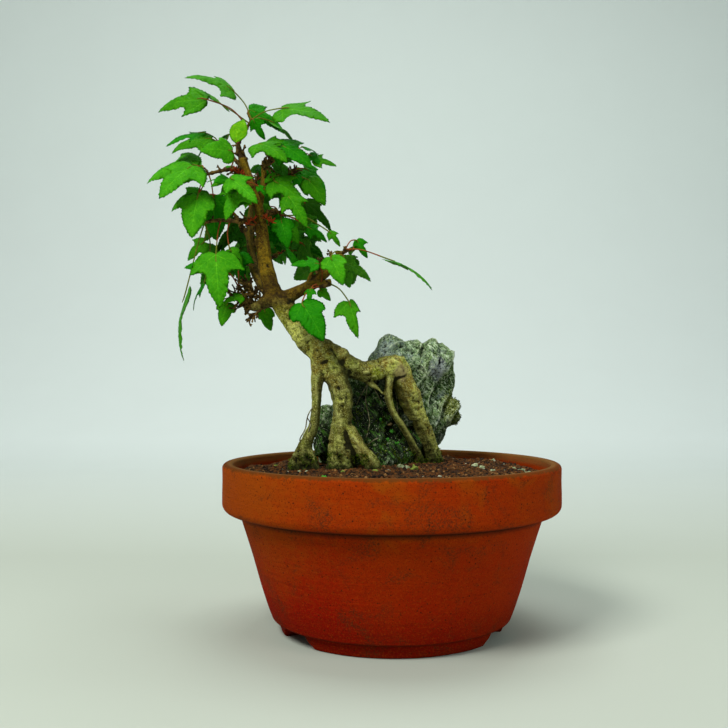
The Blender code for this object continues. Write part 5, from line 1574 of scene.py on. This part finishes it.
def make_bud_scales():
    """Clusters of red bud scales on the leader and the left bough."""
    rng = random.Random("bud_scales")
    scales = Heap()
    for centre in BUD_CLUSTERS:
        for _ in range(7):
            way = Vector([rng.uniform(-1, 1), rng.uniform(-1, 0.2), rng.uniform(-0.4, 1)]).normalized()
            start = Vector(centre) + way * 0.3
            scales.add(*swept([(*start, 0.25), (*(start + way * 1.3), 0.42), (*(start + way * 3.0), 0.08)], 6))
    add_piece("bud_scales", scales.mesh("bud_scales", [leaf_look("red_scale", (0.36, 0.050, 0.012))]))


def knobbly(line, rng):
    """A twig's line with swellings at its joints."""
    made = []
    next_knob = rng.uniform(1.0, 3.0)
    for k, place in enumerate(line):
        radius = place[3]
        if k >= next_knob:
            radius *= rng.uniform(1.25, 1.55)
            next_knob = k + rng.uniform(3.0, 6.0)
        made.append((place[0], place[1], place[2], radius))
    return made


def make_stage():
    """A plain pale floor that sweeps up behind the plant."""
    profile = [(-1.6, 0.0), (0.9, 0.0)]
    profile += [(0.9 + 0.7 * math.sin(math.radians(a)), 0.7 - 0.7 * math.cos(math.radians(a))) for a in range(10, 91, 10)]
    profile.append((1.6, 2.6))
    mesh = bpy.data.meshes.new("floor")
    points = [(x, y, z) for y, z in profile for x in (-3.0, 3.0)]
    mesh.from_pydata(points, [], [(2 * k, 2 * k + 1, 2 * k + 3, 2 * k + 2) for k in range(len(profile) - 1)])
    mesh.polygons.foreach_set("use_smooth", [True] * len(mesh.polygons))
    mesh.materials.append(floor_look())
    floor = bpy.data.objects.new("floor", mesh)
    bpy.context.scene.collection.objects.link(floor)


def add_light(name, place, target, size, watts, colour):
    """A soft square light that looks at a place."""
    lamp = bpy.data.lights.new(name, "AREA")
    lamp.size = size
    lamp.energy = watts
    lamp.color = colour
    light = bpy.data.objects.new(name, lamp)
    bpy.context.scene.collection.objects.link(light)
    light.location = place
    light.rotation_euler = (Vector(target) - Vector(place)).to_track_quat("-Z", "Y").to_euler()


def make_lights():
    """Soft studio light: a wide one from above the front left, a weaker one from the right, and a pale room."""
    middle = (0.0, 0.0, 0.14)
    add_light("key", (-0.7, -0.9, 1.3), middle, 0.6, 22.0, (1.0, 0.98, 0.94))
    add_light("fill", (1.1, -0.8, 0.7), middle, 0.8, 5.2, (0.95, 1.0, 1.0))
    add_light("top", (0.1, 0.3, 1.6), middle, 1.0, 12.0, (1.0, 1.0, 1.0))
    world = bpy.data.worlds.new("room")
    world.use_nodes = True
    backdrop = world.node_tree.nodes["Background"]
    backdrop.inputs["Color"].default_value = (0.86, 0.95, 0.93, 1.0)
    backdrop.inputs["Strength"].default_value = 0.21
    bpy.context.scene.world = world
    bpy.context.scene.view_settings.view_transform = "Standard"


def make_camera():
    """The photo's view: a little over half a metre in front of the pot, just above its rim."""
    lens = bpy.data.cameras.new("camera")
    lens.sensor_width = 36.0
    lens.lens = 45.4
    camera = bpy.data.objects.new("camera", lens)
    bpy.context.scene.collection.objects.link(camera)
    camera.location = (Vector((-15.0, -509.6, 136.8)) + AXIS) * MM
    camera.rotation_euler = (math.radians(90.905), 0.0, 0.0)
    bpy.context.scene.camera = camera


make_camera()
make_stage()
make_lights()
make_pot()
rock_mesh = make_rock()
wood_mesh = make_wood()
keep_hidden((rock_mesh, wood_mesh))
solid_trees = [BVHTree.FromPolygons([tuple(p) for p in mesh_places(mesh)], [tuple(f.vertices) for f in mesh.polygons])
               for mesh in (rock_mesh, wood_mesh)]
make_soil(solid_trees)
make_hair_roots(solid_trees[0])
make_pebbles(node_tree_mm("soil"), solid_trees[0])
make_moss(rock_mesh, wood_mesh)
make_weeds(node_tree_mm("soil"), solid_trees[0], make_leaves())
